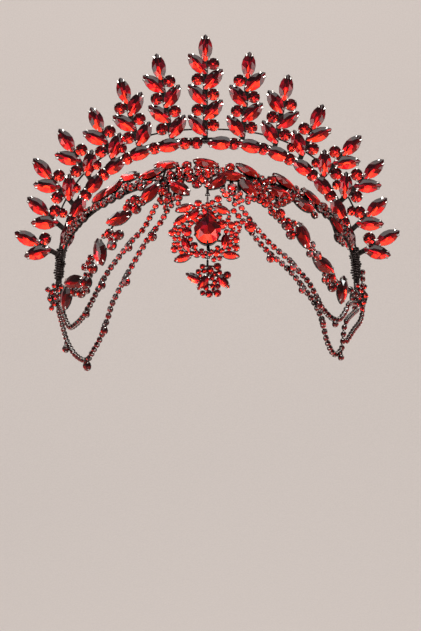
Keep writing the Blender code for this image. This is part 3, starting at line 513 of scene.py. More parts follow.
def blob(wide, tall):
    """A drop of solder: a dome over a flat foot, from three rings and a crown point."""
    rings = [edge_ring(round_edge, 8, wide * share, wide * share, z * tall)
             for share, z in ((1.0, 0), (0.9, 0.5), (0.5, 0.9))]
    verts = np.vstack(rings + [np.array([[0, 0, tall]])])
    faces = [tuple(range(7, -1, -1))]
    for a in (0, 8):
        faces += [(a + k, a + (k + 1) % 8, a + 8 + (k + 1) % 8, a + 8 + k) for k in range(8)]
    faces += [(16 + k, 16 + (k + 1) % 8, 24) for k in range(8)]
    return verts, faces, None


# Kinds of stone, in mm: outline, its points, length, width, height of the cup and of the
# stone, the table's shares of length and width, places of the claws (degrees) and their width
KINDS = {
    "navette": (navette_edge, 16, 15.2, 7.7, 1.6, 3.2, (0.68, 0.46), (38, 142, 218, 322), 1.0),
    "round": (round_edge, 16, 6.7, 6.7, 1.6, 3.3, ROUND_TABLE, FOUR_CLAWS, 0.95),
    "small_navette": (navette_edge, 16, 9.9, 4.5, 1.5, 3.0, (0.66, 0.46), (40, 140, 220, 320),
                      0.7),
    "small_round": (round_edge, 16, 5.3, 5.3, 1.5, 3.1, ROUND_TABLE, FOUR_CLAWS, 0.8),
    "tiny_round": (round_edge, 12, 3.9, 3.9, 1.4, 2.8, ROUND_TABLE, FOUR_CLAWS, 0.7),
    "seed": (round_edge, 8, 2.1, 2.1, 0.9, 1.8, ROUND_TABLE, FOUR_CLAWS, 0.5),
    "link_stone": (round_edge, 12, 3.1, 3.1, 1.0, 2.2, ROUND_TABLE, FOUR_CLAWS, 0.6),
    "chaton": (round_edge, 12, 2.8, 2.8, 1.0, 2.1, ROUND_TABLE, FOUR_CLAWS, 0.6),
}


def make_kind(edge, count, long, wide, cup_tall, top, table, prongs, prong_wide):
    """The patterns of one kind of stone and of the cup that holds it, from sizes in mm."""
    long, wide, cup_tall, top = long * MM, wide * MM, cup_tall * MM, top * MM
    stone = cut_stone(edge, count, long * 0.985, wide * 0.985, cup_tall * 0.4,
                      cup_tall + 0.35 * MM, top, table)
    return stone, cup(edge, count, long, wide, cup_tall, prongs, prong_wide * MM)


STONE_KINDS = {name: make_kind(*row) for name, row in KINDS.items()}
KIND_SIZES = {name: (row[2] * MM, row[3] * MM) for name, row in KINDS.items()}
# Painted light of a back facet, bright orange-red as a painted reflection of the top light where
# it faces up and dark maroon as painted shade where it faces down, with random tone on top: its
# middle value, what its own tilt and its stone's count, how uneven the tilts are, and the range
# of a stone's own share of chance
PAINTED_LIGHT_MIDDLE, PAINTED_LIGHT_TILT, PAINTED_LIGHT_SEAT, TILT_NOISE = 0.42, 0.90, 0.6, 0.08
OWN_TONE_RANGE = (-0.7, 0.3)


class Tray:
    """Collects copies of patterns, and casts them as one mesh. Each copy is the pattern's
    points times the copy's matrix; all copies of a pattern are worked out at once."""

    def __init__(self):
        self.verts, self.loops, self.sizes, self.tilts, self.marks, self.smooth = \
            [], [], [], [], [], []
        self.count = 0

    def lay(self, pattern, matrices=None, smooth=False, chance=0.2):
        """Adds the pattern at each matrix. A stone's painted light, from 0, painted shade, for a back
        facet that looks down to 1, a painted reflection of the top light, for one that looks up,
        varies from facet to facet by chance as random tone."""
        verts, faces, marks = pattern
        matrices = np.eye(4)[None] if matrices is None else np.asarray(matrices).reshape(-1, 4, 4)
        turned = np.einsum("nij,vj->nvi", matrices[:, :3, :3], verts) + matrices[:, None, :3, 3]
        flat = np.concatenate([np.asarray(face) for face in faces])
        offset = self.count + np.arange(len(matrices)) * len(verts)
        self.verts.append(turned.reshape(-1, 3))
        self.loops.append((offset[:, None] + flat[None]).ravel())
        self.sizes.append(np.tile([len(face) for face in faces], len(matrices)))
        self.smooth.append(np.full(len(faces) * len(matrices), smooth))
        number = len(matrices) * len(faces)
        if marks is not None and marks.ndim == 2:
            leant = np.einsum("nij,fj->nfi", matrices[:, :3, :3], marks)
            leant = leant + rng.normal(0, TILT_NOISE, leant.shape)
            own = rng.uniform(*OWN_TONE_RANGE, (len(matrices), 1)) * chance
            # Painted light: facets that face up, towards the top light, go bright, and those that
            # face down go dark as painted shade; stones that themselves face up get less.
            raised = leant[..., 2] - PAINTED_LIGHT_SEAT * matrices[:, 2:3, 2]
            painted_light_and_tone = PAINTED_LIGHT_MIDDLE + PAINTED_LIGHT_TILT * raised + own
            painted_light_and_tone = painted_light_and_tone + rng.normal(0, chance, leant.shape[:2])
            self.tilts.append(unit(leant).reshape(-1, 3))
            self.marks.append(np.clip(painted_light_and_tone, 0, 1).ravel())
        else:
            self.tilts.append(np.zeros((number, 3)))
            self.marks.append(np.zeros(number) if marks is None else np.tile(marks, len(matrices)))
        self.count += turned.shape[0] * turned.shape[1]

    def cast(self, name, material, node, body, slot, stones=False):
        """The collected copies as an object that stands for the CAD node."""
        verts, loops = np.vstack(self.verts), np.concatenate(self.loops)
        sizes = np.concatenate(self.sizes)
        mesh = bpy.data.meshes.new(name)
        mesh.vertices.add(len(verts))
        mesh.vertices.foreach_set("co", verts.astype(np.float32).ravel())
        mesh.loops.add(len(loops))
        mesh.loops.foreach_set("vertex_index", loops.astype(np.int32))
        mesh.polygons.add(len(sizes))
        starts = np.concatenate([[0], np.cumsum(sizes)[:-1]])
        mesh.polygons.foreach_set("loop_start", starts.astype(np.int32))
        mesh.polygons.foreach_set("use_smooth", np.concatenate(self.smooth))
        mesh.update(calc_edges=True)
        mesh.validate()
        if stones:
            tilt = mesh.attributes.new("pavilion", "FLOAT_VECTOR", "FACE")
            tilt.data.foreach_set("vector", np.vstack(self.tilts).astype(np.float32).ravel())
        # The face attribute that carries the stones' painted light and tone, or the metal's painted
        # highlight.
        mark = mesh.attributes.new("painted_light_and_tone" if stones else "painted_glint", "FLOAT", "FACE")
        mark.data.foreach_set("value", np.concatenate(self.marks).astype(np.float32))
        mesh.materials.append(material)
        made = bpy.data.objects.new(name, mesh)
        bpy.context.scene.collection.objects.link(made)
        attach(made, body)
        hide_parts(node)
        return made


def set_piece(node, body, stones, metal):
    """Casts a node's stones and its metal, each as its own piece."""
    if stones.count:
        stones.cast(node + "_stones", siam, node, body, "siam_glass", stones=True)
    if metal.count:
        metal.cast(node + "_settings", gunmetal, node, body, "gunmetal")


def lay_stones(stones, metal, rows):
    """Lays each stone with its cup: rows are (kind, matrix)."""
    for kind in dict.fromkeys(row[0] for row in rows):
        matrices = np.array([matrix for name, matrix in rows if name == kind])
        stones.lay(STONE_KINDS[kind][0], matrices, chance=0.12 if "navette" in kind else 0.3)
        metal.lay(STONE_KINDS[kind][1], matrices)


def linear(code):
    """An sRGB hex colour as linear RGBA."""
    parts = [int(code[i:i + 2], 16) / 255 for i in (1, 3, 5)]
    return (*((c / 12.92 if c <= 0.04045 else ((c + 0.055) / 1.055) ** 2.4)
              for c in parts), 1.0)


def feed(tree, node, inputs):
    """Gives a node its inputs, which are socket values or links to make."""
    for key, value in dict(inputs).items():
        if isinstance(value, bpy.types.NodeSocket):
            tree.links.new(value, node.inputs[key])
        else:
            node.inputs[key].default_value = value


def node_in(tree, kind, settings=(), inputs=()):
    """Adds a node: settings are its own values."""
    made = tree.nodes.new(kind)
    for key, value in dict(settings).items():
        setattr(made, key, value)
    feed(tree, made, inputs)
    return made


def clouds(tree, size, detail):
    """Noise with spots of about the given size, fixed to the object."""
    place = node_in(tree, "ShaderNodeTexCoord")
    return node_in(tree, "ShaderNodeTexNoise", inputs={
        "Vector": place.outputs["Object"], "Scale": 1 / size, "Detail": detail}).outputs["Fac"]


def new_material(name):
    """An empty Principled material, its tree and its shader."""
    made = bpy.data.materials.new(name)
    made.use_nodes = True
    tree = made.node_tree
    return made, tree, tree.nodes["Principled BSDF"]


def ramp(tree, factor, stops):
    """A colour ramp through (place, colour) stops."""
    made = node_in(tree, "ShaderNodeValToRGB", inputs={"Fac": factor})
    elements = made.color_ramp.elements
    while len(elements) < len(stops):
        elements.new(0.5)
    for element, (place, colour) in zip(elements, stops):
        element.position = place
        element.color = linear(colour)
    return made.outputs["Color"]


def make_siam():
    """Foil-backed lead crystal, machine cut and polished, in siam red, under a clear glossy face:
    the mirrored back facets seen through the stone tilt its shading normal, and their base colour
    is painted light, orange-red as a painted reflection of the top light on facets that face up
    and maroon as painted shade on those that face down."""
    made, tree, shader = new_material("foiled_siam_crystal")
    painted_light_and_tone = node_in(tree, "ShaderNodeAttribute", {"attribute_name": "painted_light_and_tone"})
    pavilion = node_in(tree, "ShaderNodeAttribute", {"attribute_name": "pavilion"})
    turned = node_in(tree, "ShaderNodeVectorTransform",
                     {"vector_type": "NORMAL", "convert_from": "OBJECT",
                      "convert_to": "WORLD"}, {"Vector": pavilion.outputs["Vector"]})
    # Painted light: from dark maroon painted shade for facets that face down to bright orange-red
    # painted reflection for those that face up; it tints the specular too.
    colour = ramp(tree, painted_light_and_tone.outputs["Fac"], (
        (0.0, "#30040E"), (0.30, "#620612"), (0.56, "#9C0916"), (0.78, "#D81219"),
        (1.0, "#FF3A20")))
    feed(tree, shader, {
        "Base Color": colour, "Specular Tint": colour, "Normal": turned.outputs["Vector"],
        "Metallic": 0.85, "Roughness": 0.2, "Coat Weight": 0.75, "Coat Roughness": 0.03,
        "Coat IOR": 1.5})
    return made


def make_gunmetal():
    """Black nickel (gunmetal) plating on soft steel and brass, tumbled: near black with a
    brown cast, satin on its flats, and a near-white painted highlight on claw tips and cup rims."""
    made, tree, shader = new_material("tumbled_gunmetal_plating")
    cloud = clouds(tree, 1.4 * MM, 3.0)
    grain = clouds(tree, 0.25 * MM, 2.0)
    colour = ramp(tree, cloud, (
        (0.3, "#231E1E"), (0.55, "#3A3231"), (0.75, "#5B5150")))
    rough = node_in(tree, "ShaderNodeMapRange", inputs={
        "Value": cloud, "To Min": 0.18, "To Max": 0.42})
    bump = node_in(tree, "ShaderNodeBump", inputs={
        "Height": grain, "Strength": 0.25, "Distance": 0.03 * MM})
    # Painted highlight: near white on the claw tips, faint on the cup rims, mixed into the metal's
    # colour.
    painted_glint = node_in(tree, "ShaderNodeAttribute", {"attribute_name": "painted_glint"})
    glinted = node_in(tree, "ShaderNodeMix", {"data_type": "RGBA"},
                   {"Factor": painted_glint.outputs["Fac"], "A": colour, "B": linear("#F0EAE4")})
    feed(tree, shader, {"Base Color": glinted.outputs["Result"], "Metallic": 1.0,
                        "Roughness": rough.outputs["Result"], "Normal": bump.outputs["Normal"]})
    return made


def make_backdrop():
    """Painted paper sweep, matt, with a fine grain in its colour and a faint even glow, as
    of paper lit from behind."""
    made, tree, shader = new_material("matt_paper_sweep")
    colour = ramp(tree, clouds(tree, 2.5 * MM, 2.0), ((0.35, "#D0C9C5"), (0.65, "#D4CDC9")))
    feed(tree, shader, {"Base Color": colour, "Emission Color": colour,
                        "Emission Strength": 0.25, "Roughness": 0.9})
    return made


siam = make_siam()
gunmetal = make_gunmetal()


def bar(start, end, out, thick):
    """A short square bar with broken corners from start to end."""
    return tube(np.array([start, end]), 0, square=(thick, thick), ups=np.array([out, out]))


def build_rear_band():
    """The flat band: its section carried along the arch, and a fine wire wound round it."""
    metal = Tray()
    path = arch_point(np.linspace(0, 180, 97))
    flat = fan(0, 0, 0)
    points = path @ flat[:3, :2].T
    out = unit(arch_point(np.linspace(0, 180, 97), 0.001) - path) @ flat[:3, :2].T
    metal.lay(tube(points, 0, square=(BAND_THICK * 0.86, BAND_WIDE * 0.88), ups=out))
    steps = 2600
    dense = arch_point(np.linspace(1, 179, steps))
    beyond = unit(arch_point(np.linspace(1, 179, steps), 0.001) - dense)
    turn = np.linspace(0, 2 * np.pi * 250, steps)
    reach = (np.abs(np.cos(turn)) ** 4 + np.abs(np.sin(turn)) ** 4) ** -0.25
    up = np.sin(turn) * reach * (BAND_WIDE / 2 - 0.15 * MM)
    through = np.cos(turn) * reach * (BAND_THICK / 2 - 0.15 * MM)
    wound = np.concatenate([dense + beyond * up[:, None], through[:, None]], -1)
    metal.lay(tube(wound @ flat[:3, :3].T, 0.22 * MM, 4), smooth=True)
    for side in (-1, 1):
        place = np.linspace(0, 1, 360)
        turn = place * 2 * np.pi * 13
        leg = np.interp(place, (0, 1), (12.5, 2.5))
        middle = arch_point(leg if side > 0 else 180 - leg)
        loose = 1 + 0.12 * np.sin(turn * 0.31) + 0.10 * np.cos(turn * 0.83)
        spots = np.stack([middle[:, 0] + np.sin(turn) * loose * (BAND_WIDE / 2 + 0.5 * MM),
                          middle[:, 1], np.cos(turn) * loose * (BAND_THICK / 2 + 0.4 * MM)], -1)
        metal.lay(tube(spots @ flat[:3, :3].T, 0.62 * MM, 6), smooth=True)
    set_piece("rear_band", "crown", Tray(), metal)


def keep_clear(rows, places, tight=0.96):
    """Of the places, (kind, matrix) in order, those whose stone stays clear of every stone
    laid before it: clear means outside the sum of the two outlines' sizes, times tight."""
    laid = [(matrix, KIND_SIZES[kind]) for kind, matrix in rows]
    kept = []
    for kind, seat in places:
        radius = KIND_SIZES[kind][0] / 2
        turned = np.array([matrix[:3, :3].T @ (seat[:3, 3] - matrix[:3, 3]) for matrix, size in laid])
        reach = np.array([size for matrix, size in laid]) / 2 + radius
        if np.hypot(turned[:, 0] / reach[:, 0], turned[:, 1] / reach[:, 1]).min() > tight:
            laid.append((seat, KIND_SIZES[kind]))
            kept.append((kind, seat))
    return kept


def strip_places(line, along, out):
    """Places for small stones along the strip, in rows at equal steps."""
    across = np.cross(out, along)
    for kind, reach in (("small_round", 2.4), ("small_round", -2.4), ("tiny_round", 3.0),
                        ("tiny_round", -3.0), ("tiny_round", 0.6), ("chaton", 2.8)):
        for at in np.linspace(4, len(line) - 5, 150):
            k = int(at)
            place = line[k] + (line[k + 1] - line[k]) * (at - k) + across[k] * reach * MM
            yield kind, stand_up(place, along[k], out[k])


def between_places(rows, furthest, kinds=("chaton", "seed")):
    """Places for small stones on the lines between neighbouring stones, nearest pairs first."""
    seats = np.array([matrix for kind, matrix in rows])
    first, second = np.triu_indices(len(rows), 1)
    gap = np.linalg.norm(seats[first, :3, 3] - seats[second, :3, 3], axis=1)
    order = np.argsort(gap)[:np.count_nonzero(gap < furthest)]
    for kind in kinds:
        for share in (0.5, 0.35, 0.65):
            for a, b in zip(first[order], second[order]):
                seat = seats[a].copy()
                seat[:3, 3] += (seats[b, :3, 3] - seats[a, :3, 3]) * share
                yield kind, seat


def ring_places(base, edge, long, wide, steps, kinds):
    """Places for small stones at equal steps of an outline around base."""
    for kind in kinds:
        for x, y, z in edge_ring(edge, steps, long, wide, 0.0):
            yield kind, base @ shift(x, y, z)


def build_front_band():
    """The strip along the front arch with its stones, each on a short bar to the strip."""
    stones, metal = Tray(), Tray()
    line = front_line(57)
    out = form_normal(line, FRONT_STAND)
    along = unit(np.gradient(line, axis=0))
    metal.lay(tube(line, 0, square=(FRONT_WIDE, FRONT_THICK), ups=out))
    rows = [(kind, on_form(x * HALF_WIDTH, z * BAND_DROP, FRONT_STAND, turn))
            for kind, x, z, turn in listed(FRONT_STONES)]
    for kind, tight in (("small_round", 0.78), ("tiny_round", 0.80), ("chaton", 0.86)):
        rows += keep_clear(rows, between_places(rows, 12 * MM, (kind,)), tight)
    rows += keep_clear(rows, strip_places(line, along, out))
    lay_stones(stones, metal, rows)
    for kind, matrix in rows:
        place = matrix[:3, 3] + matrix[:3, 2] * RIB * 0.6
        near = line[np.argmin(np.linalg.norm(line - place, axis=1))]
        if np.linalg.norm(near - place) > FRONT_WIDE / 2:
            metal.lay(bar(place, near, matrix[:3, 2], RIB * 0.8))
    crest = line[len(line) // 2]
    hinge = pendant_seat()
    normal = form_normal(hinge[:3, 3])
    reach = crest + (hinge[:3, 3] - crest) * (1 - 1.9 * MM / np.linalg.norm(hinge[:3, 3] - crest))
    metal.lay(bar(crest, reach, normal, RIB * 1.1))
    lay_pin(metal, hinge, reach)
    set_piece("front_band", "crown", stones, metal)


def build_spike(name, degrees, lean, share, pairs, side):
    """A leaf-shaped spike: stem, tip navette, and pairs that change sides."""
    stones, metal = Tray(), Tray()
    foot = arch_point(degrees)
    slant = math.radians(lean)
    long = share * SPIKE_LONG
    tip = foot + np.array([math.sin(slant), math.cos(slant)]) * long
    base = fan(tip[0], tip[1], FAN_FRONT, -slant)
    stem_top = 9 * MM
    stem_end = long - 1.2 * MM
    steps = np.linspace(-stem_top, -stem_end, 9)
    local = np.stack([0 * steps, steps, 0 * steps + STEM_THICK / 2, 1 + 0 * steps], -1)
    metal.lay(tube((local @ base.T)[:, :3], 0, square=(STEM_WIDE * 0.8, STEM_THICK),
                   ups=np.tile(base[:3, 2], (9, 1))))
    lift = STEM_THICK * 0.15
    rows = [("navette", base @ shift(0, -7.5 * MM, lift) @ spin("Z", math.pi / 2))]
    for pair in range(pairs):
        down = -(FIRST_PAIR + pair * PAIR_PITCH)
        leaf = side * (-1) ** pair
        rows.append(("navette", base @ shift(leaf * PAIR_SIDE, down, lift)
                     @ spin("Z", math.pi / 2 - leaf * LEAF_TURN)))
        rows.append(("round", base @ shift(-leaf * PAIR_SIDE, down, lift * 2)))
        metal.lay(blob(3.2 * MM, 1.6 * MM), base @ shift(0, down - PAIR_PITCH / 2, 0.6 * MM),
                  smooth=True)
    lay_stones(stones, metal, rows)
    set_piece(name, "crown", stones, metal)


def lay_arch_wire(metal, first, last, steps, out, front, radius, sides):
    """A wire along the arch between two places (degrees), moved outward and forward."""
    path = arch_point(np.linspace(first, last, steps), out)
    points = np.concatenate([path, np.zeros((steps, 1)), np.ones((steps, 1))], -1)
    metal.lay(tube((points @ fan(0, 0, front).T)[:, :3], radius, sides), smooth=True)


def build_fan_base():
    """The wire along the foot of the fan and the stones on it."""
    stones, metal = Tray(), Tray()
    flat = fan(0, 0, FAN_FRONT + BASE_WIRE)
    lay_arch_wire(metal, 15, 165, 61, -BAND_WIDE / 4, FAN_FRONT + BASE_WIRE, BASE_WIRE, 8)
    rows = []
    for kind, degrees, turn in BASE_STONES:
        here = arch_point(degrees)
        along = arch_point(degrees - 1) - arch_point(degrees + 1)
        inward = unit([along[1], -along[0]])
        place = here + inward * BASE_DROP
        heading = math.atan2(along[1], along[0]) + math.radians(turn)
        rows.append((kind, fan(*place, FAN_FRONT + BASE_WIRE * 0.2, heading)))
    for degrees in BETWEEN_SPIKES:
        place, foot = arch_point((degrees, degrees), BETWEEN_OUT), arch_point(degrees)
        seat = fan(*place[0], FAN_FRONT + BASE_WIRE * 0.2)
        ends = np.array([(*place[0], 0, 1), (*foot, 0, 1)]) @ flat.T
        metal.lay(bar(ends[0, :3], ends[1, :3], flat[:3, 2], RIB * 0.7))
        rows.append(("small_round", seat))
    lay_stones(stones, metal, rows)
    set_piece("fan_base", "crown", stones, metal)


def build_cross_wire():
    """A thin tie wire behind the stems."""
    metal = Tray()
    lay_arch_wire(metal, 25, 155, 60, CROSS_OUT, FAN_FRONT - CLEAR - CROSS_WIRE, CROSS_WIRE, 6)
    set_piece("cross_wire", "crown", Tray(), metal)


def build_strand(name):
    """Large stones on a wire between the front band and the side cluster."""
    stones, metal = Tray(), Tray()
    rows = [(kind, on_form(x * HALF_WIDTH, z * BAND_DROP, STRAND_STAND, turn, 0.6))
            for kind, x, z, turn in listed(STRANDS[name])]
    points = np.array([matrix[:3, 3] + matrix[:3, 2] * STRAND_WIRE * 1.5 for kind, matrix in rows])
    metal.lay(tube(smooth_route(points, 60), STRAND_WIRE * 0.8, 6), smooth=True)
    for kind, x, z in STRAND_FILL[name]:
        seat = on_form(x * HALF_WIDTH, z * BAND_DROP, STRAND_STAND, 0)
        near = points[np.argmin(np.linalg.norm(points - seat[:3, 3], axis=1))]
        metal.lay(bar(seat[:3, 3] + seat[:3, 2] * 0.6 * MM, near, seat[:3, 2], 0.8 * MM))
        rows.append((kind, seat))
    rows += keep_clear(rows, between_places(rows, 9 * MM), 0.84)
    lay_stones(stones, metal, rows)
    set_piece(name, "crown", stones, metal)


def build_chain(name):
    """A cup chain: cups at equal steps along the route, flat links between them."""
    stones, metal = Tray(), Tray()
    route = smooth_route(chain_places(name), 1600)
    run = np.concatenate([[0], np.cumsum(np.linalg.norm(np.diff(route, axis=0), axis=1))])
    count = int(round(run[-1] / CHAIN_PITCH))
    at = np.interp((np.arange(count) + 0.5) * run[-1] / count, run, np.arange(len(route)))
    here = np.clip(at.astype(int), 1, len(route) - 2)
    along = unit(route[here + 1] - route[here - 1])
    out = unit(form_normal(route[here]) - (0, 0.6, 0))
    seats = stand_up(route[here] - out * CHAIN_WIDE * 0.42, along, out)
    stones.lay(STONE_KINDS["link_stone"][0], seats, chance=0.25)
    metal.lay(STONE_KINDS["link_stone"][1], seats)
    middle = (seats[1:, :3, 3] + seats[:-1, :3, 3]) / 2
    links = stand_up(middle, seats[1:, :3, 3] - seats[:-1, :3, 3],
                     seats[1:, :3, 2] + seats[:-1, :3, 2])
    half = CHAIN_PITCH / 2
    pin = tube(np.array([(-half, 0, 0.5 * MM), (half, 0, 0.5 * MM)]), 0,
               square=(0.9 * MM, 0.5 * MM), ups=np.array([(0, 0, 1.0)] * 2))
    metal.lay(pin, links)
    set_piece(name, "crown", stones, metal)


def build_drop(name, chain, along, share):
    """A round stone in its cup, hung by an eye on the front of a chain."""
    stones, metal = Tray(), Tray()
    wide = share * ROUND_WIDE
    route = chain_places(chain)
    spot = smooth_route(route, 10 * (len(route) - 1) + 1)[round(along * 10)]
    down = wide / 2 + EYE_WIDE / 2 - EYE_WIRE
    seat = on_form(spot[0], spot[2] - down, CHAIN_STAND + CHAIN_WIDE / 2 + CLEAR, 0, 0.3)
    stones.lay(cut_stone(round_edge, 16, wide * 0.97, wide * 0.97, 0.5 * MM, 1.35 * MM,
                         2.5 * MM, ROUND_TABLE), seat, chance=0.3)
    metal.lay(cup(round_edge, 16, wide, wide, 1.0 * MM, FOUR_CLAWS, 0.7 * MM), seat)
    eye = seat @ shift(0, down - EYE_WIRE, EYE_WIRE * 1.2)
    metal.lay(link_ring(EYE_WIDE / 2, EYE_WIRE * 0.85), eye, smooth=True)
    set_piece(name, "crown", stones, metal)


def build_cluster(name, share):
    """A round plate with seven small stones, and five more at its edge."""
    stones, metal = Tray(), Tray()
    side = math.copysign(1, share)
    face = unit([side * 0.35, -0.94, 0])
    across = unit(np.cross(face, (0, 0, -1)))
    leg_y = -BAND_DROP * math.sin(FAN_LEAN)
    y = leg_y - FAN_FRONT - CLUSTER_THICK / 2 - BAND_WIDE / 2 * 0.37
    seat = stand_up((share * HALF_WIDTH, y, -BAND_DROP * 1.045), across, face)
    disc = np.array([(0, 0, -CLUSTER_THICK / 2), (0, 0, CLUSTER_THICK / 2)])
    metal.lay(tube(disc, CLUSTER_WIDE / 2, 24, ups=np.array([(1.0, 0, 0)] * 2)), seat)
    ring = CLUSTER_WIDE / 2 - 3.0 * MM * 0.46
    rows = [("chaton", seat @ shift(0, 0, CLUSTER_THICK * 0.45))]
    for step in range(6):
        rows.append(("chaton", seat @ spin("Z", math.tau * (step + 0.2) / 6)
                     @ shift(ring, 0, CLUSTER_THICK * 0.35)))
    for degrees in (62, 100, 140, 245, 285):
        rows.append(("chaton", seat @ spin("Z", math.radians(degrees))
                     @ shift(ring + 2.7 * MM, 0, CLUSTER_THICK * 0.2)))
    lay_stones(stones, metal, rows)
    set_piece(name, "crown", stones, metal)


def pendant_seat():
    """The medallion's frame at its hinge: X right, Y up its face, Z out of its face."""
    hinge = form_place(np.float64(0), -PENDANT_DROP, PENDANT_STAND)
    return shift(*hinge) @ spin("X", math.pi / 2 - PENDANT_TURN)


def lower_seat():
    """The lower drop's frame at its hinge."""
    place = pendant_seat() @ np.array([0, -PENDANT_LONG - RIB / 2 - CLEAR, RIB * 0.6, 1])
    return shift(*place[:3]) @ spin("X", math.pi / 2)


def lay_pin(metal, seat, reach):
    """The fixed half of a ring joint: a pin along the axis and two lugs up to what carries
    it, at the seat's origin."""
    x = seat[:3, 0]
    pin = np.array([seat[:3, 3] - x * 1.3 * MM, seat[:3, 3] + x * 1.3 * MM])
    metal.lay(tube(pin, 0.28 * MM, 8), smooth=True)
    for side in (-1, 1):
        foot = seat[:3, 3] + x * side * 1.05 * MM
        metal.lay(bar(foot, reach + x * side * 0.6 * MM, seat[:3, 2], 0.5 * MM))


def lay_eye(metal, seat):
    """The moving half: a ring around the pin, in the plane across the axis."""
    metal.lay(link_ring(0.8 * MM, 0.26 * MM), seat @ spin("Y", math.pi / 2), smooth=True)


def build_medallion():
    """The pear stone's bezel with the small stones round it. Each stands on a short bar from
    the bezel or from a stone nearer to it. The ring at the top hangs on the front band's pin,
    and the pin below carries the lower drop."""
    stones, metal = Tray(), Tray()
    base = pendant_seat()
    centre = np.array([0, -PEAR_DOWN * PENDANT_LONG, 0])
    metal.lay(cup(pear_edge, 24, PEAR_WIDE * 0.95, PEAR_LONG * 0.95, BEZEL_TALL - 0.3 * MM, ()),
              base @ shift(*centre))
    lift = np.array([0, 0, RIB * 0.6])

    def placed(spot):
        return (base @ np.append(spot + lift, 1))[:3]

    spots = [(np.array([x * PENDANT_HALF, -y * PENDANT_LONG, 0]), kind, turn)
             for kind, x, y, turn in listed(MEDALLION)]
    spots.sort(key=lambda row: np.linalg.norm(row[0] - centre))
    seats = [centre + (0, y * MM, 0) for y in (-4.4, 0, 4.4)]
    rows = []
    for spot, kind, turn in spots:
        rows.append((kind, base @ shift(*spot) @ spin("Z", math.radians(turn))))
        near = min(seats, key=lambda place: np.linalg.norm(place - spot))
        metal.lay(bar(placed(spot), placed(near), base[:3, 2], RIB * 0.75))
        seats.append(spot)
    for grown in (5.2, 10.6):
        around = ring_places(base @ shift(*centre), pear_edge, PEAR_WIDE + grown * MM,
                             PEAR_LONG + grown * MM, 40, ("tiny_round", "chaton"))
        rows += keep_clear(rows, around, 0.88)
    joints = (base[:3, 3], lower_seat()[:3, 3])
    rows += [row for row in keep_clear(rows, between_places(rows, 11 * MM), 0.80)
             if min(np.linalg.norm(row[1][:3, 3] - joint) for joint in joints) > 3.2 * MM]
    top = np.array([0, -1.1 * MM, -lift[2]])
    metal.lay(bar(placed(top), placed(centre), base[:3, 2], RIB * 0.8))
    lay_eye(metal, base)
    foot = centre + (0, -7.5 * MM, 0)
    hinge = lower_seat()
    metal.lay(bar(placed(foot), hinge[:3, 3] + hinge[:3, 1] * 1.6 * MM, base[:3, 2], RIB * 0.8))
    lay_pin(metal, hinge, hinge[:3, 3] + hinge[:3, 1] * 1.6 * MM)
    lay_stones(stones, metal, rows)
    set_piece("medallion", "pendant", stones, metal)


def build_pear():
    """The pear-shaped stone with six claws over its edge."""
    stones, metal = Tray(), Tray()
    seat = pendant_seat() @ shift(0, -PEAR_DOWN * PENDANT_LONG, BEZEL_TALL + CLEAR)
    stones.lay(cut_stone(pear_edge, 16, PEAR_WIDE, PEAR_LONG, 0.1 * MM, 1.6 * MM, 4.5 * MM,
                         (0.62, 0.62), 34.0), seat, chance=0.22)
    for degrees in (90, 30, 150, 205, 335, 270):
        x, y = pear_edge(np.array([math.radians(degrees)]))
        foot = np.array([x[0] * PEAR_WIDE / 2, y[0] * PEAR_LONG / 2, 0])
        spots = np.array([foot * 0.98, foot * 1.035 + (0, 0, 1.2 * MM),
                          foot * 1.0 + (0, 0, 2.1 * MM), foot * 0.86 + (0, 0, 2.7 * MM)])
        claw = tube(spots, 0.45 * MM, 8, ups=np.tile(unit(foot), (4, 1)))
        metal.lay(claw, seat, smooth=True)
    set_piece("pear_stone", "pendant", stones, metal)


def build_lower_drop():
    """The leaf drop: small stones on bars from its spine."""
    stones, metal = Tray(), Tray()
    base = lower_seat()
    spine = DROP_HALF * 1.86
    top = (base @ np.array([0, -0.9 * MM, 0, 1]))[:3]
    lay_eye(metal, base)
    end = (base @ np.array([0, -spine, 0, 1]))[:3]
    metal.lay(bar(top, end, base[:3, 2], RIB * 0.9))
    rows = []
    for kind, x, y, turn in listed(LOWER_DROP):
        spot = np.array([x * DROP_HALF, -y * DROP_HALF, -RIB * 0.35])
        rows.append((kind, base @ shift(*spot) @ spin("Z", math.radians(turn))))
        start = (base @ np.array([spot[0], spot[1], RIB * 0.15, 1]))[:3]
        meet = (base @ np.array([0, max(spot[1] * 0.93, -spine * 0.9), RIB * 0.05, 1]))[:3]
        if np.linalg.norm(start - meet) > RIB:
            metal.lay(bar(start, meet, base[:3, 2], RIB * 0.75))
    middle = base @ shift(0.8 * MM, -11.4 * MM, -RIB * 0.35)
    for size in (3.0, 8.5, 13.0):
        rows += keep_clear(rows, ring_places(middle, round_edge, size * MM, size * 1.1 * MM, 24,
                                             ("tiny_round", "chaton")), 0.86)
    rows += keep_clear(rows, between_places(rows, 9 * MM), 0.80)
    lay_stones(stones, metal, rows)
    set_piece("lower_drop", "leaf_drop", stones, metal)


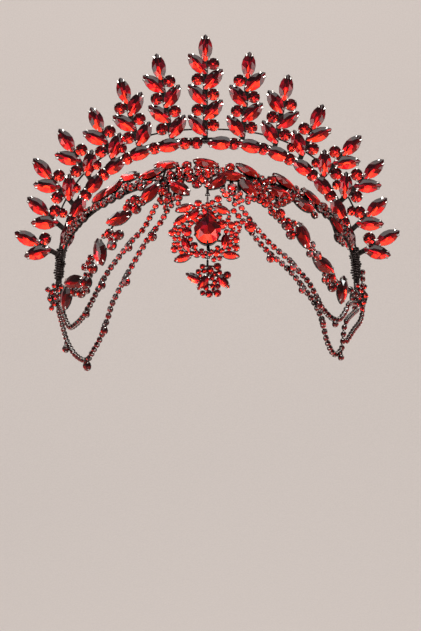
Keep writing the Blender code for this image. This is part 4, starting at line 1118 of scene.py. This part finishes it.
# Lights: name, place, aim, size in metres, watts and colour
LIGHTS = (
    ("top_softbox", (0.10, -0.45, 1.15), (0, -0.03, -0.02), (1.4, 0.8), 11, "#FFFAF6"),
    ("front_fill", (-0.9, -1.6, 0.35), (0, 0, -0.03), (0.9, 0.9), 5, "#FFFDFA"),
    ("key", (0.55, -1.1, 0.75), (0, -0.03, -0.02), (0.22, 0.22), 5, "#FFFFFF"),
    ("spark", (-0.35, -1.0, 0.95), (0, -0.03, -0.02), (0.12, 0.12), 3, "#FFFFFF"),
    ("left_strip", (-1.0, -0.6, 0.0), (0, -0.05, -0.07), (0.3, 0.8), 3, "#FFFDFA"),
    ("right_strip", (1.0, -0.6, 0.0), (0, -0.05, -0.07), (0.3, 0.8), 3, "#FFFDFA"),
    ("low_bounce", (0, -1.1, -0.5), (0, -0.05, -0.08), (1.0, 0.2), 0.8, "#FFF6EE"),
    ("rear_fill", (-0.6, 1.3, 1.1), (0, 0, -0.05), (1.2, 0.6), 9, "#FFFCF8"),
    ("wall_light", (0, 1.2, 1.9), (0, 3.0, 0.0), (2.4, 0.8), 22, "#FFFAF7"),
)


def add_area(name, place, aim, size, watts, colour):
    """A rectangular soft light that points at aim."""
    data = bpy.data.lights.new(name, "AREA")
    data.shape = "RECTANGLE"
    data.size, data.size_y = size
    data.energy = watts
    data.color = linear(colour)[:3]
    made = bpy.data.objects.new(name, data)
    back = unit(np.array(place) - np.array(aim))
    right = unit(np.cross((0, 0.02, 1.0), back))
    turned = np.eye(4)
    turned[:3, 0], turned[:3, 1], turned[:3, 2] = right, np.cross(back, right), back
    turned[:3, 3] = place
    made.matrix_world = Matrix(turned.tolist())
    bpy.context.scene.collection.objects.link(made)


def build_sweep():
    """Floor and wall in one sheet: a profile of floor, quarter circle and wall, drawn out
    along X."""
    turn = np.linspace(0, np.pi / 2, 24)
    radius, far, low = 0.9, 2.2, -0.62
    profile = np.vstack([[(-9.0, low)],
                         np.stack([far + radius * np.sin(turn),
                                   low + radius * (1 - np.cos(turn))], -1),
                         [(far + radius, low + 4.5)]])
    width = np.linspace(-8, 8, 2)
    verts = np.array([(x, y, z) for x in width for y, z in profile])
    n = len(profile)
    mesh = bpy.data.meshes.new("sweep")
    mesh.from_pydata(verts.tolist(), [], [(k, n + k, n + k + 1, k + 1) for k in range(n - 1)])
    mesh.shade_smooth()
    mesh.materials.append(make_backdrop())
    made = bpy.data.objects.new("sweep", mesh)
    bpy.context.scene.collection.objects.link(made)


def build_stage():
    """Camera, sweep and lights of a small product studio."""
    scene = bpy.context.scene
    data = bpy.data.cameras.new("camera")
    data.lens, data.sensor_width = 146.55, 36
    camera = bpy.data.objects.new("camera", data)
    camera.location = (0.0015, -1.4051, -0.0939)
    camera.rotation_euler = (math.pi / 2, 0, 0)
    scene.collection.objects.link(camera)
    scene.camera = camera
    scene.view_settings.view_transform = "Standard"
    world = bpy.data.worlds.new("studio")
    scene.world = world
    world.use_nodes = True
    world.node_tree.nodes["Background"].inputs["Color"].default_value = linear("#E4DCD6")
    world.node_tree.nodes["Background"].inputs["Strength"].default_value = 0.26
    build_sweep()
    for row in LIGHTS:
        add_area(*row)


build_stage()
build_rear_band()
build_front_band()
build_fan_base()
build_cross_wire()
build_spike("spike_centre", *CENTRE_SPIKE)
for side, rows in SIDE_SPIKES.items():
    for number, row in enumerate(rows, 1):
        build_spike(f"spike_{side}_{number}", *row)
for name in STRANDS:
    build_strand(name)
for name in CHAINS:
    build_chain(name)
for name, share in CLUSTERS:
    build_cluster(name, share)
for side, rows in DROPS.items():
    for number, (chain, along, share) in enumerate(rows, 1):
        build_drop(f"drop_{side}_{number}", f"chain_{side}_{chain}", along, share)
build_medallion()
build_pear()
build_lower_drop()
